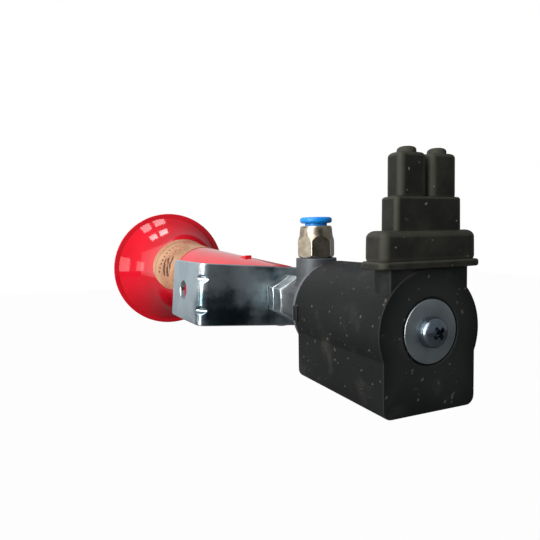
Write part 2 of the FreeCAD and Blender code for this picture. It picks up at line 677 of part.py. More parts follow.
# The magnet frame is a U of steel: two cheeks across the bobbin's ends and a bar below it.
YOKE_BOTTOM = "(yoke_cover - coil_foot)"
yoke_bar = block("YokeBar", "yoke_width", "coil_length - 2*yoke_start", "yoke_thickness",
                 "coil_length/2", "0", YOKE_BOTTOM)
cheeks = []
for name, station in (("YokeRear", "yoke_start + yoke_thickness/2"),
                      ("YokeFront", "coil_length - yoke_start - yoke_thickness/2")):
    cheek = block(name, "yoke_width", "yoke_thickness", f"{BOBBIN_RADIUS} - {YOKE_BOTTOM}",
                  station, "0", YOKE_BOTTOM)
    cheeks.append(cheek)
yoke_bore = cylinder("YokeBore", "tube_radius + running_gap", FRONT)
place(yoke_bore)
yoke_blank = joined("YokeBlank", cheeks + [yoke_bar])
yoke = cut("MagnetFrame", yoke_blank, yoke_bore)
named(yoke, "magnet_frame")

BLADE_FOOT = f"({BOBBIN_RADIUS} + blade_cover)"
blades = []
for index, sign in enumerate((-1, 1)):
    blade = block(f"TerminalBlade{index}", "blade_width", "blade_thickness",
                  f"{TOWER_TOP} + blade_stand - {BLADE_FOOT}", "blade_centre",
                  f"{sign}*blade_spacing/2", BLADE_FOOT)
    blades.append(blade)
    named(blade, f"terminal_blade_{index + 1}")

potting_hole = cylinder("PottingHole", "tube_radius + running_gap", "coil_length*2")
place(potting_hole, "-coil_length/2")
bobbin_room = cylinder("BobbinRoom", BOBBIN_RADIUS, f"{BOBBIN_END} - {BOBBIN_START}")
place(bobbin_room, BOBBIN_START)
recess = cylinder("WasherRecess", "recess_radius", "recess_depth*2")
place(recess, "-recess_depth")
coil_cuts = joined("CoilCuts", [potting_hole, bobbin_room, recess, yoke_blank] + blades)
potted = cut("CoilHousing", coil_blank, coil_cuts)
named(potted, "coil_housing")

# --- washer and screw ---------------------------------------------------------------------
washer = turned("CoilWasher", [
    ("screw_radius + running_gap", "0"),
    ("washer_radius - washer_edge", "0"),
    ("washer_radius", "washer_edge"),
    ("washer_radius", "washer_thickness"),
    ("screw_radius + running_gap", "washer_thickness"),
])
named(place(washer), "coil_washer")
HEAD = "screw_head_height"
screw_blank = turned("ScrewBlank", [
    ("0", f"-{HEAD}"),
    ("screw_head_radius*0.42", f"-{HEAD}"),
    ("screw_head_radius*0.78", f"-{HEAD}*0.86"),
    ("screw_head_radius*0.96", f"-{HEAD}*0.55"),
    ("screw_head_radius", f"-{HEAD}*0.2"),
    ("screw_head_radius", "0"),
    ("screw_radius", "0"),
    ("screw_radius", "screw_length"),
    ("0", "screw_length"),
])
place(screw_blank)
slots = []
for name, width, height in (("CrossUp", "cross_width", "cross_span"),
                            ("CrossAcross", "cross_span", "cross_width")):
    slot = block(name, width, "cross_depth*2", height, f"-{HEAD}", "0", f"-({height})/2")
    slots.append(slot)
named(cut("CoilScrew", screw_blank, joined("CrossRecess", slots)), "coil_screw")

# --- terminal boot ------------------------------------------------------------------------
# One rubber moulding: a lip, a cap over the tower, a narrower block and two wire sleeves
# with closed round tips.
CAP_BOTTOM = f"({LIP_BOTTOM} + lip_height)"
BLOCK_BOTTOM = f"({CAP_BOTTOM} + cap_height)"
SLEEVE_BOTTOM = f"({BLOCK_BOTTOM} + block_height)"
SLEEVE_TOP = f"({SLEEVE_BOTTOM} + sleeve_height)"


def soft_block(name, width, depth, height, up, side="0"):
    """A block with its upright corners rounded."""
    solid = padded(name, "XY_Plane", [
        (f"-({width})/2", f"-({depth})/2"),
        (f"({width})/2", f"-({depth})/2"),
        (f"({width})/2", f"({depth})/2"),
        (f"-({width})/2", f"({depth})/2"),
    ], height)
    rounded(solid, "boot_corner", runs_along(Z_AXIS))
    place(solid, "boot_centre", UPRIGHT, side, up)
    return solid


boot_pieces = [
    soft_block("BootLip", "lip_width", "lip_depth", "lip_height", LIP_BOTTOM),
    soft_block("BootCap", "cap_width", "cap_depth", "cap_height", CAP_BOTTOM),
    soft_block("BootBlock", "block_width", "block_depth", "block_height", BLOCK_BOTTOM),
]
for index, sign in enumerate((-1, 1)):
    side = f"{sign}*blade_spacing/2"
    boot_pieces.append(soft_block(f"BootSleeve{index}", "sleeve_width", "sleeve_depth",
                                  "sleeve_height", SLEEVE_BOTTOM, side))
    tip = turned(f"BootTip{index}", [
        ("0", "0"),
        ("tip_radius", "0"),
        ("tip_radius", "tip_height*0.4"),
        ("tip_radius*0.8", "tip_height*0.85"),
        ("tip_radius*0.4", "tip_height"),
        ("0", "tip_height"),
    ])
    place(tip, "boot_centre", UPRIGHT, side, SLEEVE_TOP)
    boot_pieces.append(tip)
boot_blank = joined("BootBlank", boot_pieces)
tower_room = block("TowerRoom", "tower_width", "tower_depth", "tower_insert + lip_height",
                   "tower_depth/2", "0", f"{LIP_BOTTOM} - lip_height")
blade_room = block("BladeRoom", "blade_spacing + blade_width + boot_wall",
                   "blade_thickness + boot_wall", "blade_stand + boot_wall",
                   "blade_centre", "0", TOWER_TOP)
boot = cut("TerminalBoot", boot_blank, joined("BootRoom", [tower_room, blade_room]))
named(boot, "terminal_boot")

# --- push-in tube fitting -----------------------------------------------------------------
# The body screws into the boss. A packing, a claw ring, a keeper and a sliding button hold
# and free the air tube. Heights are measured from the horn axis, radii from the tube's own.
HOLDER_RADIUS = "(hose_radius + 2*packing_radius + holder_play)"
HEX_FLATS = f"(2*{HOLDER_RADIUS} + 2*hex_wall)"
BUTTON_NECK = "(hose_radius + button_wall)"
BUTTON_RADIUS = "(hose_radius + button_flange)"
HEX_START = "(boss_top + fitting_gap)"
HEX_TOP = f"({HEX_START} + hex_height)"
MOUTH = f"({HEX_TOP} + shoulder_height)"
HEX_CORNER = f"{HEX_FLATS}/sqrt(3)"
THREAD_START = "(boss_top - fitting_thread)"


def in_boss(thing, up="0"):
    return place(thing, BOSS, UPRIGHT, "0", up)


hex_bar = place(hexagon("FittingBar", HEX_FLATS, "hex_height"), BOSS,
                FreeCAD.Rotation(Z_AXIS, size("hex_turn")), "0", HEX_START)
hex_round = in_boss(turned("FittingRound", [
    ("0", HEX_START),
    (f"{HEX_FLATS}/2 - nut_land", HEX_START),
    (HEX_CORNER, f"{HEX_START} + nut_bevel"),
    (HEX_CORNER, f"{HEX_TOP} - 2*nut_bevel"),
    (f"{HEX_FLATS}/2 + nut_land", HEX_TOP),
    ("0", HEX_TOP),
]))
top_round = in_boss(turned("FittingTop", [
    ("0", f"{HEX_TOP} - seating_gap"),
    (f"{HEX_FLATS}/2 + nut_land", f"{HEX_TOP} - seating_gap"),
    (f"{HEX_FLATS}/2 - nut_land/2", f"{HEX_TOP} + shoulder_height*0.26"),
    (f"{HOLDER_RADIUS} + 2*mouth_wall", f"{MOUTH} - shoulder_height*0.17"),
    (f"{HOLDER_RADIUS} + mouth_wall", MOUTH),
    ("0", MOUTH),
]))
fitting_thread = cylinder("FittingThread", "port_radius - seating_gap",
                          "fitting_thread + fitting_gap + nut_bevel")
in_boss(fitting_thread, THREAD_START)
fitting_hex = common("FittingHex", hex_bar, hex_round)
fitting_blank = joined("FittingBlank", [fitting_hex, top_round, fitting_thread])
HOSE_STOP = f"({HEX_START} + hose_stop)"
HOLDER_FLOOR = f"({HEX_START} + holder_floor)"
fitting_way = in_boss(turned("FittingWay", [
    ("0", f"{THREAD_START} - fitting_gap"),
    ("fitting_bore", f"{THREAD_START} - fitting_gap"),
    ("fitting_bore", HOSE_STOP),
    ("hose_radius + seating_gap", HOSE_STOP),
    ("hose_radius + seating_gap", HOLDER_FLOOR),
    (HOLDER_RADIUS, HOLDER_FLOOR),
    (HOLDER_RADIUS, f"{MOUTH} + fitting_gap"),
    ("0", f"{MOUTH} + fitting_gap"),
]))
named(cut("FittingBody", fitting_blank, fitting_way), "fitting_body")
thread_seal = turned("ThreadSeal", [
    ("port_radius", "boss_top"),
    (f"{HEX_FLATS}/2 - nut_land", "boss_top"),
    (f"{HEX_FLATS}/2 - nut_land", HEX_START),
    ("port_radius", HEX_START),
])
named(in_boss(thread_seal), "fitting_seal")
packing = doc.addObject("Part::Torus", "TubePacking")
packing.setExpression("Radius1", full("hose_radius + packing_radius + seating_gap"))
packing.setExpression("Radius2", full("packing_radius"))
named(in_boss(packing, f"{HOLDER_FLOOR} + packing_radius"), "tube_packing")
CLAW = f"({HOLDER_FLOOR} + 2*packing_radius + stop_gap)"
HELD = f"({HOLDER_RADIUS} - seating_gap)"
claw_blank = in_boss(turned("ClawBlank", [
    ("hose_radius + running_gap", CLAW),
    (f"{HELD} - claw_rim", f"{CLAW} + claw_height - claw_sheet"),
    (HELD, f"{CLAW} + claw_height - claw_sheet"),
    (HELD, f"{CLAW} + claw_height"),
    (f"{HELD} - claw_rim", f"{CLAW} + claw_height"),
    ("hose_radius + running_gap", f"{CLAW} + claw_sheet"),
]))
claw_slots = []
for index in range(int(size("claw_slots"))):
    turn = 360 * index / size("claw_slots")
    slot = doc.addObject("Part::Box", f"ClawSlot{index}")
    slot.setExpression("Length", full(f"{HELD} - claw_rim"))
    slot.setExpression("Width", full("claw_slot_width"))
    slot.setExpression("Height", full("claw_height*3"))
    slot.Placement = FreeCAD.Placement(FreeCAD.Vector(), FreeCAD.Rotation(Z_AXIS, turn))
    across = f"claw_slot_width/2*sin({turn}deg)"
    along = f"claw_slot_width/2*cos({turn}deg)"
    slot.setExpression(".Placement.Base.x", full(f"{AXIS_X} + {across}"))
    slot.setExpression(".Placement.Base.y", full(f"{REAR_Y} + {BOSS} - {along}"))
    slot.setExpression(".Placement.Base.z", full(f"{AXIS_Z} + {CLAW} - claw_height"))
    claw_slots.append(slot)
named(cut("ClawRing", claw_blank, joined("ClawSlots", claw_slots)), "claw_ring")
BUTTON_BOTTOM = f"({CLAW} + claw_height + button_travel + face_gap)"
KEEPER_BOTTOM = f"({CLAW} + claw_height + stop_gap)"
keeper = turned("Keeper", [
    (f"{HELD} - keeper_wall", KEEPER_BOTTOM),
    (HELD, KEEPER_BOTTOM),
    (HELD, f"{MOUTH} - stop_gap"),
    (f"{HELD} - keeper_wall", f"{MOUTH} - stop_gap"),
])
named(in_boss(keeper), "claw_keeper")
BUTTON_UNDER = f"({MOUTH} + button_rise)"
BUTTON_TOP = f"({BUTTON_UNDER} + button_height)"
button = turned("ReleaseButton", [
    ("hose_radius", BUTTON_BOTTOM),
    (f"{BUTTON_NECK} - nut_land", BUTTON_BOTTOM),
    (BUTTON_NECK, f"{BUTTON_BOTTOM} + button_edge"),
    (BUTTON_NECK, BUTTON_UNDER),
    (f"{BUTTON_RADIUS} - button_edge", BUTTON_UNDER),
    (BUTTON_RADIUS, f"{BUTTON_UNDER} + button_edge"),
    (BUTTON_RADIUS, f"{BUTTON_TOP} - button_edge"),
    (f"{BUTTON_RADIUS} - button_edge", BUTTON_TOP),
    ("hose_radius", BUTTON_TOP),
])
named(in_boss(button), "release_button")

# --- check and write ----------------------------------------------------------------------
doc.recompute()
for thing in doc.Objects:
    if "Invalid" in thing.State or "Error" in thing.State:
        raise RuntimeError(f"{thing.Name} did not build: {thing.State}")
os.makedirs("parts", exist_ok=True)
for thing in NODES:
    shape = thing.Shape
    if shape.isNull() or not shape.isValid() or len(shape.Solids) != 1:
        raise RuntimeError(f"{thing.Label}: {len(shape.Solids)} solids, valid {shape.isValid()}")
    shape.exportStep(f"parts/{thing.Label}.step")
    box = shape.BoundBox
    print(f"{thing.Label}: {shape.Volume:.1f} mm3, x {box.XMin:.2f} {box.XMax:.2f},"
          f" y {box.YMin:.2f} {box.YMax:.2f}, z {box.ZMin:.2f} {box.ZMax:.2f}")
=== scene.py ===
import json
import math

import bmesh
import bpy
import numpy as np
from mathutils import Matrix, Vector


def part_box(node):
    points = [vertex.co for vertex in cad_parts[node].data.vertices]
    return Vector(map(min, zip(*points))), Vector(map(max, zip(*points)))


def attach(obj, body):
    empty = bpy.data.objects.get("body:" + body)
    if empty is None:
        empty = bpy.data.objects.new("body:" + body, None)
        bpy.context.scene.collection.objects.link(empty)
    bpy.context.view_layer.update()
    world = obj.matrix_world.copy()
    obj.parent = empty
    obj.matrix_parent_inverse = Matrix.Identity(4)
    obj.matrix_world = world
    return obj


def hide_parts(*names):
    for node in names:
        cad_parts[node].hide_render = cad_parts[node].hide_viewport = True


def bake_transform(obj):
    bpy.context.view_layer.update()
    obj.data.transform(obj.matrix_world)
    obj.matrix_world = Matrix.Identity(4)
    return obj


# An electric air horn: red trumpet, valve body and coil on one axis, held by an L bracket.
# Sizes are in millimetres in the horn's own frame: x to the side, y along the axis from the
# coil's rear face, z up from the axis. `piece` turns them into metres in the row frame.
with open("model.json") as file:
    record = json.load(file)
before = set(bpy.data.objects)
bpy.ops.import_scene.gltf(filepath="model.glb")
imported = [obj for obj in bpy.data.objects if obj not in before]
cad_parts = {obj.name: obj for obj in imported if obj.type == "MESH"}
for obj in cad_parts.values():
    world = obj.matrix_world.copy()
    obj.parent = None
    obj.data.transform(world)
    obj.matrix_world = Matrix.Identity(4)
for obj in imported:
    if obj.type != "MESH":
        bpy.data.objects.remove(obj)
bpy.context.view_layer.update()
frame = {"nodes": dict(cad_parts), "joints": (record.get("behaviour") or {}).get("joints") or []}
swivel = next(joint for joint in frame["joints"] if joint["name"] == "bracket_swivel")
AXIS_X, _, AXIS_Z = swivel["pos_m"]
HORN_FRAME = np.array([AXIS_X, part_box("coil_housing")[0].y, AXIS_Z])

# --- Trumpet ------------------------------------------------------------------------------
# One injection-moulded shell in glossy red plastic, screwed on the chamber cap. It tapers,
# flares to the bell, and ends in a stepped lip. A small moulding lug stands on top.


class Wire:
    """A shader socket that does arithmetic: each operator adds one Math node."""

    def __init__(self, finish, socket):
        self.finish = finish
        self.socket = socket

    def maths(self, operation, first, second):
        return self.finish.node("ShaderNodeMath", {"operation": operation}, {0: first, 1: second})

    def __add__(self, other):
        return self.maths("ADD", self, other)

    def __radd__(self, other):
        return self.maths("ADD", other, self)

    def __sub__(self, other):
        return self.maths("SUBTRACT", self, other)

    def __mul__(self, other):
        return self.maths("MULTIPLY", self, other)

    def __rmul__(self, other):
        return self.maths("MULTIPLY", other, self)

    def __truediv__(self, other):
        return self.maths("DIVIDE", self, other)

    def __gt__(self, other):
        return self.maths("GREATER_THAN", self, other)

    def __lt__(self, other):
        return self.maths("LESS_THAN", self, other)


def paint(red, green, blue):
    """A colour given in the 0 to 255 steps of a paint chart, as the linear values shaders use."""
    chart = np.array([red, green, blue]) / 255
    linear = np.where(chart <= 0.04045, chart / 12.92, ((chart + 0.055) / 1.055) ** 2.4)
    return (*linear.tolist(), 1.0)


class Graph:
    """A node tree of a material or a world. Every node in it comes from `node`."""

    def __init__(self, owner, end):
        owner.use_nodes = True
        self.tree = owner.node_tree
        self.end = self.tree.nodes[end]

    def node(self, kind, settings, values, output=0):
        """Any node: its type, its settings, then the values or links of its sockets."""
        made = self.tree.nodes.new(kind)
        for name, value in settings.items():
            setattr(made, name, value)
        for key, value in values.items():
            if isinstance(value, Wire):
                self.tree.links.new(value.socket, made.inputs[key])
            else:
                made.inputs[key].default_value = value
        return Wire(self, made.outputs[output])

    def show(self, wire):
        """Make a shader the tree's surface."""
        self.tree.links.new(wire.socket, self.end.inputs["Surface"])


class Finish(Graph):
    """A surface finish: a Principled shader with fixed sockets, fed by procedural nodes."""

    def __init__(self, name, fixed):
        self.material = bpy.data.materials.new(name)
        super().__init__(self.material, "Material Output")
        self.shader = self.tree.nodes["Principled BSDF"]
        for socket, value in fixed.items():
            self.shader.inputs[socket].default_value = value

    def feed(self, socket, wire):
        self.tree.links.new(wire.socket, self.shader.inputs[socket])

    def place(self):
        return self.node("ShaderNodeTexCoord", {}, {}, "Object")

    def noise(self, scale, detail=3.0, stretch=(1, 1, 1)):
        """Cloudy values from 0 to 1, `scale` clouds to the metre, squeezed along an axis."""
        mapped = self.node("ShaderNodeMapping", {}, {"Vector": self.place(), "Scale": stretch})
        return self.node("ShaderNodeTexNoise", {}, {
            "Vector": mapped, "Scale": scale, "Detail": detail})

    def spread(self, wire, low, high, start=0.0, end=1.0):
        """The part of a value between low and high, drawn out smoothly to start and end."""
        return self.node("ShaderNodeMapRange", {"interpolation_type": "SMOOTHSTEP"},
                         {0: wire, 1: low, 2: high, 3: start, 4: end})

    def mix(self, factor, first, second):
        """The first colour where the factor is 0 and the second where it is 1."""
        return self.node("ShaderNodeMix", {"data_type": "RGBA"},
                         {0: factor, 6: first, 7: second}, 2)

    def bump(self, height, strength, depth):
        self.feed("Normal", self.node("ShaderNodeBump", {}, {
            "Height": height, "Strength": strength, "Distance": depth}))

    def edge_highlight(self):
        """How sharply the surface turns, kept on the mesh: near 1 along edges. The finishes paint
        highlights along it.
        """
        return self.node("ShaderNodeAttribute", {"attribute_name": "edge_highlight"}, {}, "Fac")


def softened(corners, radius, steps=5, closed=True):
    """An outline with its corners rounded. Each corner c becomes the quadratic blend
    (1-t)^2 a + 2t(1-t) c + t^2 b, where a and b lie one radius before and after it."""
    c = np.array(corners, float)
    reach = np.broadcast_to(radius, len(c)).astype(float).copy()
    if not closed:
        reach[[0, -1]] = 0
    before = np.roll(c, 1, 0) - c
    after = np.roll(c, -1, 0) - c
    before_length = np.linalg.norm(before, axis=1)
    after_length = np.linalg.norm(after, axis=1)
    reach = np.minimum(reach, 0.45 * np.minimum(before_length, after_length))
    a = c + before * (reach / before_length)[:, None]
    b = c + after * (reach / after_length)[:, None]
    t = np.linspace(0, 1, steps)[None, :, None]
    curve = (1 - t) ** 2 * a[:, None] + 2 * t * (1 - t) * c[:, None] + t ** 2 * b[:, None]
    return curve.reshape(-1, c.shape[1])


def around(steps):
    """Evenly spaced angles of one full turn."""
    return np.arange(steps) * 2 * np.pi / steps


def spun(radius, station, steps):
    """Rings about the horn axis: the point at angle a is (r cos a, station, r sin a). The
    radius is one number a ring, or one for every angle."""
    angle = around(steps)[None, :]
    r = np.asarray(radius, float)
    r = r if r.ndim == 2 else r[:, None]
    s = np.asarray(station, float)[:, None] + 0 * angle
    return np.stack([r * np.cos(angle), s, r * np.sin(angle)], -1)


def turned(outline, steps=96):
    """A surface of revolution about the horn axis from an outline of (radius, station)."""
    outline = np.asarray(outline, float)
    return spun(outline[:, 0], outline[:, 1], steps)


def shell(grid, ring=True):
    """A grid of points as (points, four-sided faces, edge highlight). The last column joins the
    first, and in a ring the last row does too. The edge highlight is the length of the change in
    the unit normal between the rows before and after a point; finishes paint highlights along it."""
    rows, columns = grid.shape[:2]
    i = np.arange(rows if ring else rows - 1)[:, None]
    j = np.arange(columns)[None, :]
    i_next = (i + 1) % rows
    j_next = (j + 1) % columns
    faces = np.stack([i * columns + j, i * columns + j_next,
                      i_next * columns + j_next, i_next * columns + j], -1)
    along = np.roll(grid, -1, 0) - np.roll(grid, 1, 0)
    across = np.roll(grid, -1, 1) - np.roll(grid, 1, 1)
    normal = np.cross(along, across)
    normal /= np.linalg.norm(normal, axis=2, keepdims=True) + 1e-9
    turn = np.linalg.norm(np.roll(normal, -1, 0) - np.roll(normal, 1, 0), axis=2)
    turn = np.maximum(turn, np.linalg.norm(np.roll(normal, -1, 1) - np.roll(normal, 1, 1), axis=2))
    return grid.reshape(-1, 3), faces.reshape(-1, 4), np.clip(turn, 0, 1).reshape(-1)


def smoothed(mesh, hard_angle):
    """Smooth shading, with edges that turn by more than the angle kept hard."""
    mesh.polygons.foreach_set("use_smooth", np.ones(len(mesh.polygons), bool))
    mesh.set_sharp_from_angle(angle=math.radians(hard_angle))


def gathered(name, shells):
    """One mesh of closed shells, moved to the row frame in metres."""
    counts = np.cumsum([0] + [len(points) for points, _, _ in shells])
    points = np.concatenate([points for points, _, _ in shells]) * 0.001 + HORN_FRAME
    faces = np.concatenate([faces + start for (_, faces, _), start in zip(shells, counts)])
    mesh = bpy.data.meshes.new(name)
    mesh.from_pydata(points.tolist(), [], faces.tolist())
    return mesh


def cleaned(mesh):
    """Merges doubled points and turns the faces outward."""
    clean = bmesh.new()
    clean.from_mesh(mesh)
    bmesh.ops.remove_doubles(clean, verts=clean.verts, dist=2e-7)
    bmesh.ops.recalc_face_normals(clean, faces=clean.faces)
    clean.to_mesh(mesh)
    clean.free()


def piece(name, shells, finish, body, nodes, hard_angle=32):
    """One object of closed shells, tied to its CAD body if it has one, with the CAD nodes it
    stands for hidden."""
    mesh = gathered(name, shells)
    edge_highlight = mesh.attributes.new("edge_highlight", "FLOAT", "POINT")
    edge_highlight.data.foreach_set("value", np.concatenate([w for _, _, w in shells]).astype(np.float32))
    cleaned(mesh)
    smoothed(mesh, hard_angle)
    mesh.materials.append(finish.material)
    made = bpy.data.objects.new(name, mesh)
    bpy.context.scene.collection.objects.link(made)
    if body:
        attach(made, body)
    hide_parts(*nodes)
    return made


def rounded_box(low, high, radius, edge, steps=5):
    """A block from low to high corner: a rounded rectangle in x and y, drawn in by the edge
    radius at the bottom and top along a quarter circle, closed by a fan at each end."""
    low = np.array(low, float)
    high = np.array(high, float)
    middle = (low + high) / 2
    corners = [(low[0], low[1]), (high[0], low[1]), (high[0], high[1]), (low[0], high[1])]
    plan = softened(corners, radius, 6)
    quarter = np.linspace(0, np.pi / 2, steps)
    inset = edge * (1 - np.sin(quarter))
    rise = edge * (1 - np.cos(quarter))
    height = np.concatenate([[low[2]], low[2] + rise, high[2] - rise[::-1], [high[2]]])
    half = (high - low)[:2] / 2
    drawn = 1 - np.concatenate([inset, inset[::-1]])[:, None] / half
    scale = np.concatenate([[[0, 0]], drawn, [[0, 0]]])
    flat = middle[:2] + (plan - middle[:2])[None] * scale[:, None, :]
    upright = np.broadcast_to(height[:, None, None], flat.shape[:2] + (1,))
    return np.concatenate([flat, upright], -1)


HORN_START = 106.0
HORN_END = 344.7
RIM_START = 341.5
BELL_RADIUS = 49.89
RIM_STEP = 1.0
THROAT_RADIUS = 15.07
TAPER = 0.045
FLARE_FADE = 25.0
WALL = 2.4
LUG_START = 148.0
LUG_END = 157.5


def horn_radius(station):
    """Outer radius: an even taper plus a flare that fades exponentially from the rim."""
    taper = THROAT_RADIUS + TAPER * (station - HORN_START)
    at_rim = THROAT_RADIUS + TAPER * (HORN_END - HORN_START)
    flare = BELL_RADIUS - RIM_STEP - at_rim
    return taper + flare * np.exp((station - HORN_END) / FLARE_FADE)


cone = np.linspace(HORN_START + 0.3, RIM_START - 0.1, 110)
bore = np.linspace(HORN_END - 0.35, HORN_START + 0.3, 110)
lip = softened([(horn_radius(RIM_START - 0.1), RIM_START - 0.1), (BELL_RADIUS, RIM_START + 0.45),
                (BELL_RADIUS, HORN_END - 0.45), (BELL_RADIUS - 0.5, HORN_END),
                (horn_radius(HORN_END) - WALL, HORN_END),
                (horn_radius(HORN_END - 0.35) - WALL, HORN_END - 0.35)], 0.45, 6, closed=False)
foot = [(horn_radius(HORN_START) - WALL + 0.2, HORN_START),
        (horn_radius(HORN_START) - 0.3, HORN_START)]
horn_outline = np.concatenate([np.stack([horn_radius(cone), cone], 1), lip,
                               np.stack([horn_radius(bore) - WALL, bore], 1), foot])
lug_foot = horn_radius(LUG_START) - 1.0
lug = rounded_box((-2.0, LUG_START, lug_foot), (2.0, LUG_END, lug_foot + 2.35), 0.5, 0.25)
lug[..., 2] -= np.clip(lug[..., 1] - 149.5, 0, None) * 0.11 * (lug[..., 2] > lug_foot + 1)
red = Finish("glossy red plastic", {"Specular IOR Level": 0.45})
flow = red.noise(28, 3)
speck = red.noise(900, 2)
red.feed("Base Color", red.mix(red.spread(flow, 0.35, 0.7), paint(218, 16, 38), paint(204, 10, 30)))
red.feed("Roughness", 0.06 + 0.05 * flow + 0.1 * red.spread(speck, 0.62, 0.75))
red.bump(flow + 0.02 * speck, 0.08, 0.001)
piece("trumpet-shell", [shell(turned(horn_outline, 176)), shell(lug, False)], red, "horn",
      ["trumpet"])

# --- Label --------------------------------------------------------------------------------
# A sheet of brown kraft paper wrapped over the top of the cone, glued down. Its print is
# plain line work: a rule near each edge, dots, two patches of strokes and a red stamp.
LABEL_START = 236.5
LABEL_END = 294.0
wrap = math.radians(230)
label_run = np.linspace(LABEL_START, LABEL_END, 60)
sheet_out = np.concatenate([horn_radius(label_run) + 0.3, horn_radius(label_run)[::-1] + 0.06])
sheet_at = np.concatenate([label_run, label_run[::-1]])
sheet_turn = np.pi / 2 + np.linspace(-wrap / 2, wrap / 2, 150)[:, None]
cut_back = 28.0 * np.abs((sheet_turn - np.pi / 2) / (wrap / 2)) ** 6
shorter = LABEL_START + (sheet_at - LABEL_START) * (1 - cut_back / (LABEL_END - LABEL_START))
lift = sheet_out - horn_radius(sheet_at)
sheet_reach = horn_radius(shorter) + lift
label_grid = np.stack([
    sheet_reach * np.cos(sheet_turn), shorter, sheet_reach * np.sin(sheet_turn)], -1)
folded = (label_grid[[0, -1]] + label_grid[[0, -1], ::-1]) / 2
label_grid = np.concatenate([folded[:1], label_grid, folded[1:]])
kraft = Finish("kraft paper", {"Specular IOR Level": 0.3})
axes = [kraft.node("ShaderNodeSeparateXYZ", {}, {"Vector": kraft.place()}, axis) for axis in "XYZ"]
to_side, along_horn, upward = [
    (axis - float(start)) * 1000 for axis, start in zip(axes, HORN_FRAME)]
bearing = kraft.node("ShaderNodeMath", {"operation": "ARCTAN2"}, {0: upward, 1: to_side})


def band(wire, low, high):
    """1 between two limits and 0 outside them."""
    return (wire > low) * (wire < high)


def repeated(wire, pitch):
    """Saw-tooth from 0 to 1 over each pitch."""
    return kraft.node("ShaderNodeMath", {"operation": "FRACT"}, {0: wire / pitch})


wander = kraft.noise(160, 3)
rules = band(along_horn, 284.6, 285.9) + band(along_horn, 240.2, 240.9)
dots = (band(along_horn, 273.0, 276.2) * band(repeated(bearing, 0.13), 0.25, 0.7)
        * band(bearing, 2.0, 3.2))
lean = along_horn + 9 * wander + 14 * bearing
strokes = band(along_horn, 250.0, 269.0) * band(repeated(lean, 7.5), 0.05, 0.6)
crest = strokes * band(bearing + 0.5 * wander, 2.75, 3.5)
second = band(along_horn, 243.0, 262.0) * band(repeated(lean, 4.3), 0.1, 0.4)
script = second * band(bearing + 0.4 * wander, 2.0, 2.65)
stamp = band(along_horn, 272.0, 282.0) * band(bearing, 1.4, 1.75)
worn_ink = kraft.spread(kraft.noise(420, 3), 0.28, 0.55)
ink = (rules * 0.6 + dots + crest + script * 0.8) * (0.55 + 0.4 * worn_ink)
fibre = kraft.noise(700, 4, (1, 0.35, 1))
paper = kraft.mix(kraft.spread(fibre, 0.3, 0.7), paint(188, 136, 102), paint(164, 112, 80))
paper = kraft.mix(kraft.spread(kraft.noise(35, 2), 0.4, 0.75), paper, paint(198, 154, 120))
printed = kraft.mix(ink, paper, paint(62, 42, 30))
kraft.feed("Base Color", kraft.mix(stamp * worn_ink * 0.85, printed, paint(186, 40, 34)))
kraft.feed("Roughness", 0.55 + 0.15 * fibre)
kraft.bump(fibre, 0.25, 0.0002)
piece("trumpet-label", [shell(label_grid, False)], kraft, "horn", ["trumpet_label"])

# --- Chamber cap --------------------------------------------------------------------------
# The red collar that closes the trumpet's small end: a moulding with a spigot inside the
# trumpet and an air chamber in front of the diaphragm.
cap_outline = softened([(6.05, 103.2), (14.95, 103.2), (14.95, 106.0), (12.47, 106.0),
                        (12.47, 122.0), (9.5, 122.0), (9.5, 110.1), (6.05, 110.1)], 0.4)
collar_red = Finish("red collar", {"Roughness": 0.28, "Coat Weight": 0.25, "Coat Roughness": 0.1})
collar_red.feed("Base Color", collar_red.mix(
    collar_red.noise(140, 3), paint(224, 6, 30), paint(190, 4, 24)))
collar_red.bump(collar_red.noise(500, 2), 0.1, 0.0005)
piece("chamber-cap", [shell(turned(cap_outline))], collar_red, "horn", ["chamber_cap"])

# --- Mounting bracket ---------------------------------------------------------------------
# Zinc-plated steel strip bent to an L, with two V gussets pressed into the bend to stiffen
# it. The plate is clamped on the horn's stem, and the flange has the fixing hole.
PLATE = 100.5
STRIP = 2.5
HALF_WIDTH = 14.3
REACH = 43.0
RISE = 39.0
TAIL = 16.0
SPLAY = math.radians(4.0)
TILT = math.radians(4.65)
bend_outside = 4.0
up_flange = np.array([-math.sin(SPLAY), math.cos(SPLAY)])
into_flange = np.array([math.cos(SPLAY), math.sin(SPLAY)])
tangent = bend_outside * math.tan((math.pi / 2 - SPLAY) / 2)
bend_centre = np.array([-REACH + tangent, bend_outside])
flange_run = RISE / math.cos(SPLAY)
lift = np.concatenate([flange_run - 2.0 * (1 - np.cos(np.linspace(0, np.pi / 2, 8))),
                       np.linspace(flange_run - 2.2, 7.0, 14),
                       np.linspace(6.6, tangent + 0.05, 14)])
sweep = np.linspace(0, math.pi / 2 - SPLAY, 26)
out = np.concatenate([np.linspace(tangent + 0.05, 6.6, 14),
                      np.linspace(7.0, REACH + TAIL - 2.2, 22),
                      REACH + TAIL - 2.0 * (1 - np.cos(np.linspace(np.pi / 2, 0, 8)))])
flange_line = np.array([-REACH, 0]) + lift[:, None] * up_flange
inward_bend = np.stack([np.cos(SPLAY + sweep), np.sin(SPLAY + sweep)], 1)
plate_line = np.stack([-REACH + out, 0 * out], 1)
outer_line = np.concatenate([flange_line, bend_centre - bend_outside * inward_bend, plate_line])
inward = np.concatenate([np.tile(into_flange, (len(lift), 1)), inward_bend,
                         np.tile([0.0, 1.0], (len(out), 1))])
from_end = np.minimum(np.concatenate([flange_run - lift, 99 + 0 * sweep, 99 + 0 * out]),
                      np.concatenate([99 + 0 * lift, 99 + 0 * sweep, REACH + TAIL - out]))
corner_loss = 2.0 - np.sqrt(np.clip(4.0 - np.clip(2.0 - from_end, 0, 2) ** 2, 0, None))
